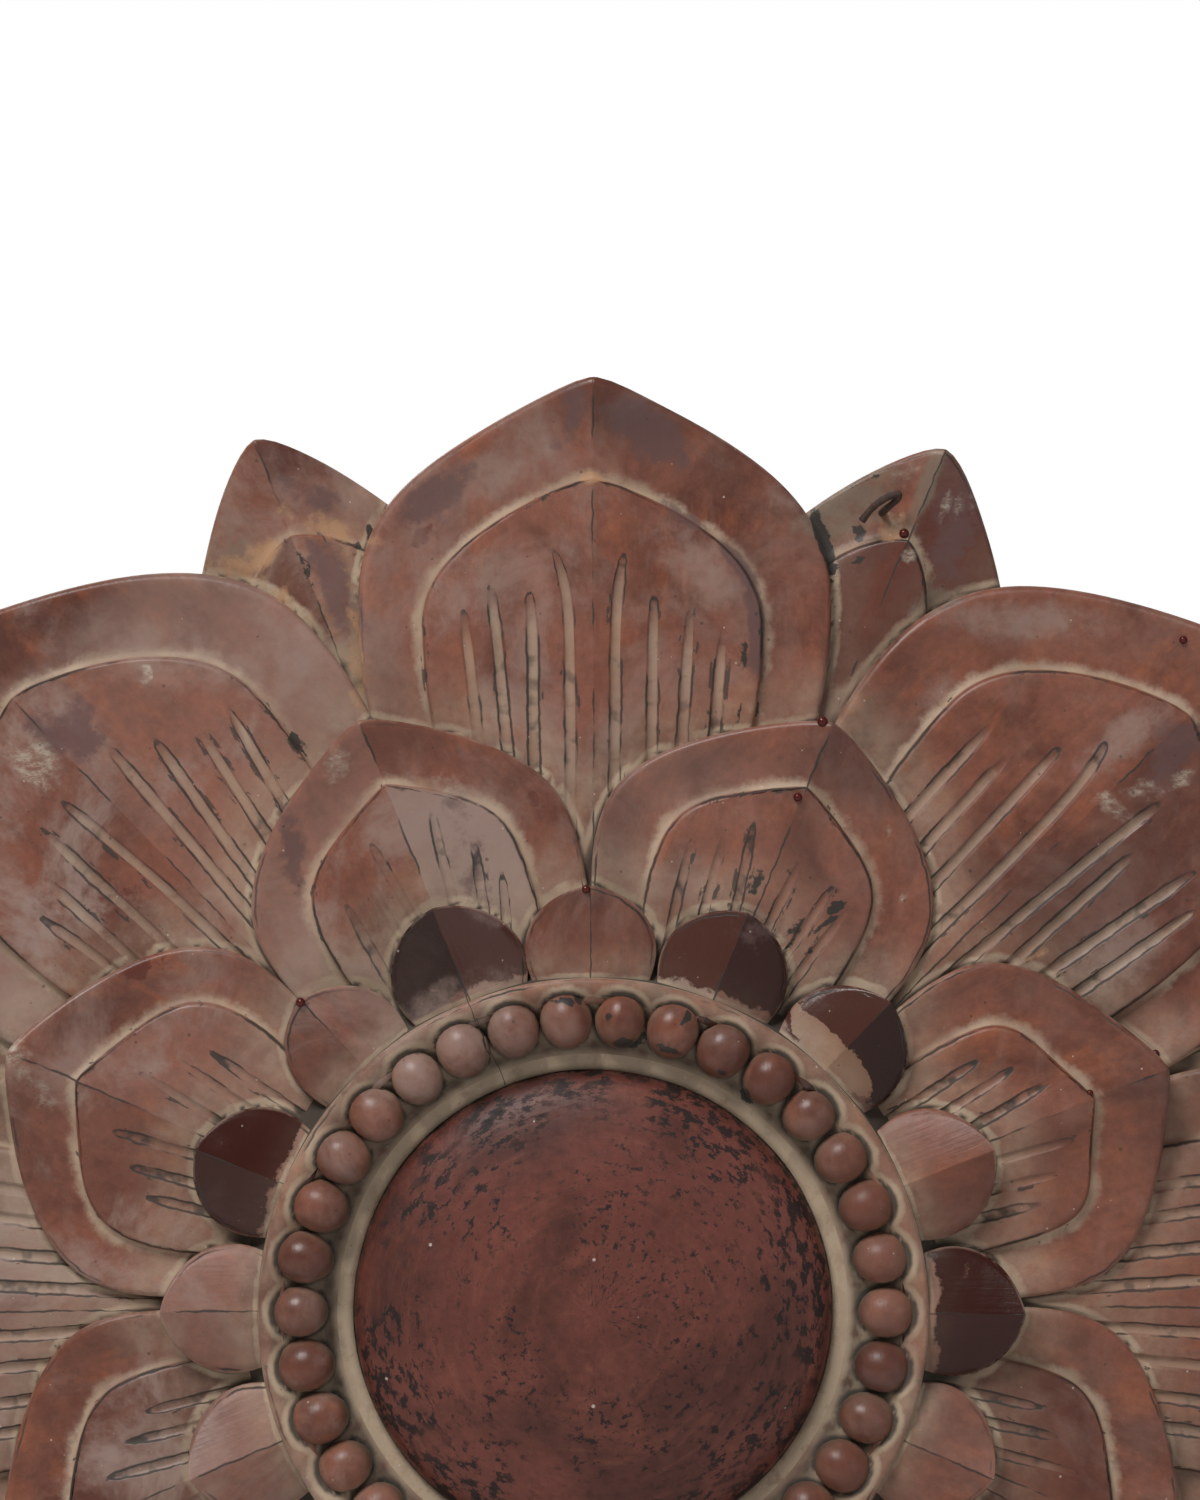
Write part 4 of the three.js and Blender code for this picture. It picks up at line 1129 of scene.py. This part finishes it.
def darkLacquer(groups):
    material, s, place = newMaterial("wornDarkLacquer")
    d = domeFinish
    parts = s.add("ShaderNodeSeparateXYZ", {"Vector": place}).outputs
    radius = s.maths("SQRT", s.plus(s.maths("POWER", parts["X"], 2.0), s.maths("POWER", parts["Z"], 2.0)))
    bearing = s.maths("ARCTAN2", parts["X"], parts["Z"])
    ringwise = s.add("ShaderNodeCombineXYZ", {"X": radius, "Y": s.times(bearing, 0.02)}).outputs[0]
    mottle = s.use(groups["mottle"], Vector=place, Grain=ringwise, Deep=tint(d["deep"]),
                   Body=tint(d["body"]), Warm=tint(d["warm"]), Bare=tint(d["bare"]))
    streaks = s.noise(s.stretched(ringwise, (190, 520, 1)), 1.0, 5, 0.7)
    clouds = s.noise(place, 22, 4, 0.6)
    nearRim = s.ramp(radius, 0.1, 0.145, -0.02, 0.05)
    worn = s.times(s.ramp(s.plus(streaks, nearRim), 0.52, 0.58),
                   s.ramp(s.plus(clouds, nearRim), 0.4, 0.56, 0.1, 1.0))
    skin = s.mix(s.times(worn, 0.9), mottle["Color"], tint(d["black"]))
    pale = s.use(groups["specks"], Vector=place, Scale=110.0, Size=0.12, Share=0.1)["Mask"]
    skin = s.mix(s.times(pale, 0.8), skin, tint(d["white"]))
    relief = s.use(groups["skin"], Vector=place, Grain=place, Dust=worn)["Height"]
    addSurface(s, s.minus(relief, s.times(worn, 0.5)), d["bump"], d["bumpDepth"], Base_Color=skin,
               Roughness=s.ramp(streaks, 0.4, 0.7, *d["roughness"]), Specular_IOR_Level=d["specular"])
    return material


nailWork = {
    "sides": 12, "wire": 2.25, "entry": (179.5, 493), "surface": 51,
    "route": [(0, -13, 0), (0, -3, 0), (1, 5, 1), (8, 12, 7), (9, 15, 10.5), (3, 15, 9), (-6, 12, 3),
              (-13, 8, -5.5)],   # right, height above the petal, up
    "steps": 9,
    "rustLumps": 0.2, "lumpScale": 0.35,
    "rust": "#33241f", "scale": "#4c362f", "pale": "#75675e",
    "metallic": 0.25, "roughness": (0.6, 0.9), "bump": 0.7, "bumpDepth": 0.0008,
}


def smoothRoute(points, steps):  # a Catmull-Rom path through the points
    path = []
    padded = [points[0]] + points + [points[-1]]
    for a, b, c, d in zip(padded, padded[1:], padded[2:], padded[3:]):
        for n in range(steps):
            t = n / steps
            path.append(0.5 * (2 * b + (c - a) * t + (2 * a - 5 * b + 4 * c - d) * t * t
                               + (3 * b - a - 3 * c + d) * t ** 3))
    return path + [points[-1]]


def bendNail():
    n = nailWork
    x, z = n["entry"]
    route = [Vector((x + right, -(n["surface"] + height), z + up)) for right, height, up in n["route"]]
    path = smoothRoute(route, n["steps"])
    bm = bmesh.new()
    ring = bmesh.ops.create_circle(bm, cap_ends=True, segments=n["sides"], radius=n["wire"])["verts"]
    heading = Vector((0, 0, 1))
    at = Vector((0, 0, 0))
    face = ring[0].link_faces[0]
    width = 1.0
    for k, point in enumerate(path):
        ahead = (path[min(k + 1, len(path) - 1)] - path[max(k - 1, 0)]).normalized()
        if k:
            made = bmesh.ops.extrude_face_region(bm, geom=[face])["geom"]
            ring = [v for v in made if isinstance(v, bmesh.types.BMVert)]
            old, face = face, [f for f in made if isinstance(f, bmesh.types.BMFace)][0]
            if k > 1:
                bmesh.ops.delete(bm, geom=[old], context="FACES_ONLY")
        spin = heading.rotation_difference(ahead).to_matrix()
        bmesh.ops.translate(bm, verts=ring, vec=point - at)
        bmesh.ops.rotate(bm, verts=ring, cent=point, matrix=spin)
        rustier = 1 + n["rustLumps"] * noise.noise(point * n["lumpScale"])
        for vert in ring:
            vert.co = point + (vert.co - point) * rustier / width
        width = rustier
        heading, at = ahead, point
    bmesh.ops.recalc_face_normals(bm, faces=bm.faces)
    return addPiece("rustedNail", bm)


def rustedIron(groups):
    material, s, place = newMaterial("rustedIron")
    n = nailWork
    flakes = s.noise(place, 420, 5, 0.7)
    skin = s.mix(s.ramp(flakes, 0.4, 0.62), tint(n["rust"]), tint(n["scale"]))
    skin = s.mix(s.ramp(s.noise(place, 260, 3), 0.6, 0.75, 0.0, 0.7), skin, tint(n["pale"]))
    addSurface(s, flakes, n["bump"], n["bumpDepth"], Base_Color=skin, Metallic=n["metallic"],
               Roughness=s.ramp(flakes, 0.3, 0.7, *n["roughness"]))
    return material


def stainMesh(mesh):     # how strongly each kind of stain lies at each vertex
    places = [(vert.co.x / mm, vert.co.z / mm) for vert in mesh.vertices]
    for kind, marks in stains.items():
        values = [0.0] * len(places)
        for x, z, length, width, bearing, strength in marks:
            sine, cosine = math.sin(math.radians(bearing)), math.cos(math.radians(bearing))
            near = length + width
            for n, (px, pz) in enumerate(places):
                dx, dz = px - x, pz - z
                if abs(dx) < near and abs(dz) < near:
                    along = (dx * sine + dz * cosine) / length
                    across = (dx * cosine - dz * sine) / width
                    values[n] = max(values[n], strength * (1 - along * along - across * across))
        layer = mesh.attributes.new(kind, "FLOAT", "POINT")
        layer.data.foreach_set("value", values)
    print("stained with", ", ".join(stains))


setCamera()
setLights()
layFloor()
print("camera, lights and floor placed")
groups = {"line": makeWornLine(), "specks": makeSpecks(), "mottle": makeMottle(), "dust": makeDust(),
          "skin": makeSkin()}
carving = carveRosette()
stainMesh(carving.data)
dome = turnDome()
nail = bendNail()
for piece, node, slot, finish in ((carving, "lotus_panel", "red_lacquer", redLacquer),
                                  (dome, "centre_boss", "dark_lacquer", darkLacquer),
                                  (nail, "bent_nail", "rusted_iron", rustedIron)):
    piece.data.materials.append(finish(groups))
    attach(piece, "root")
    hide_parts(node)
    print(piece.name, "finished")
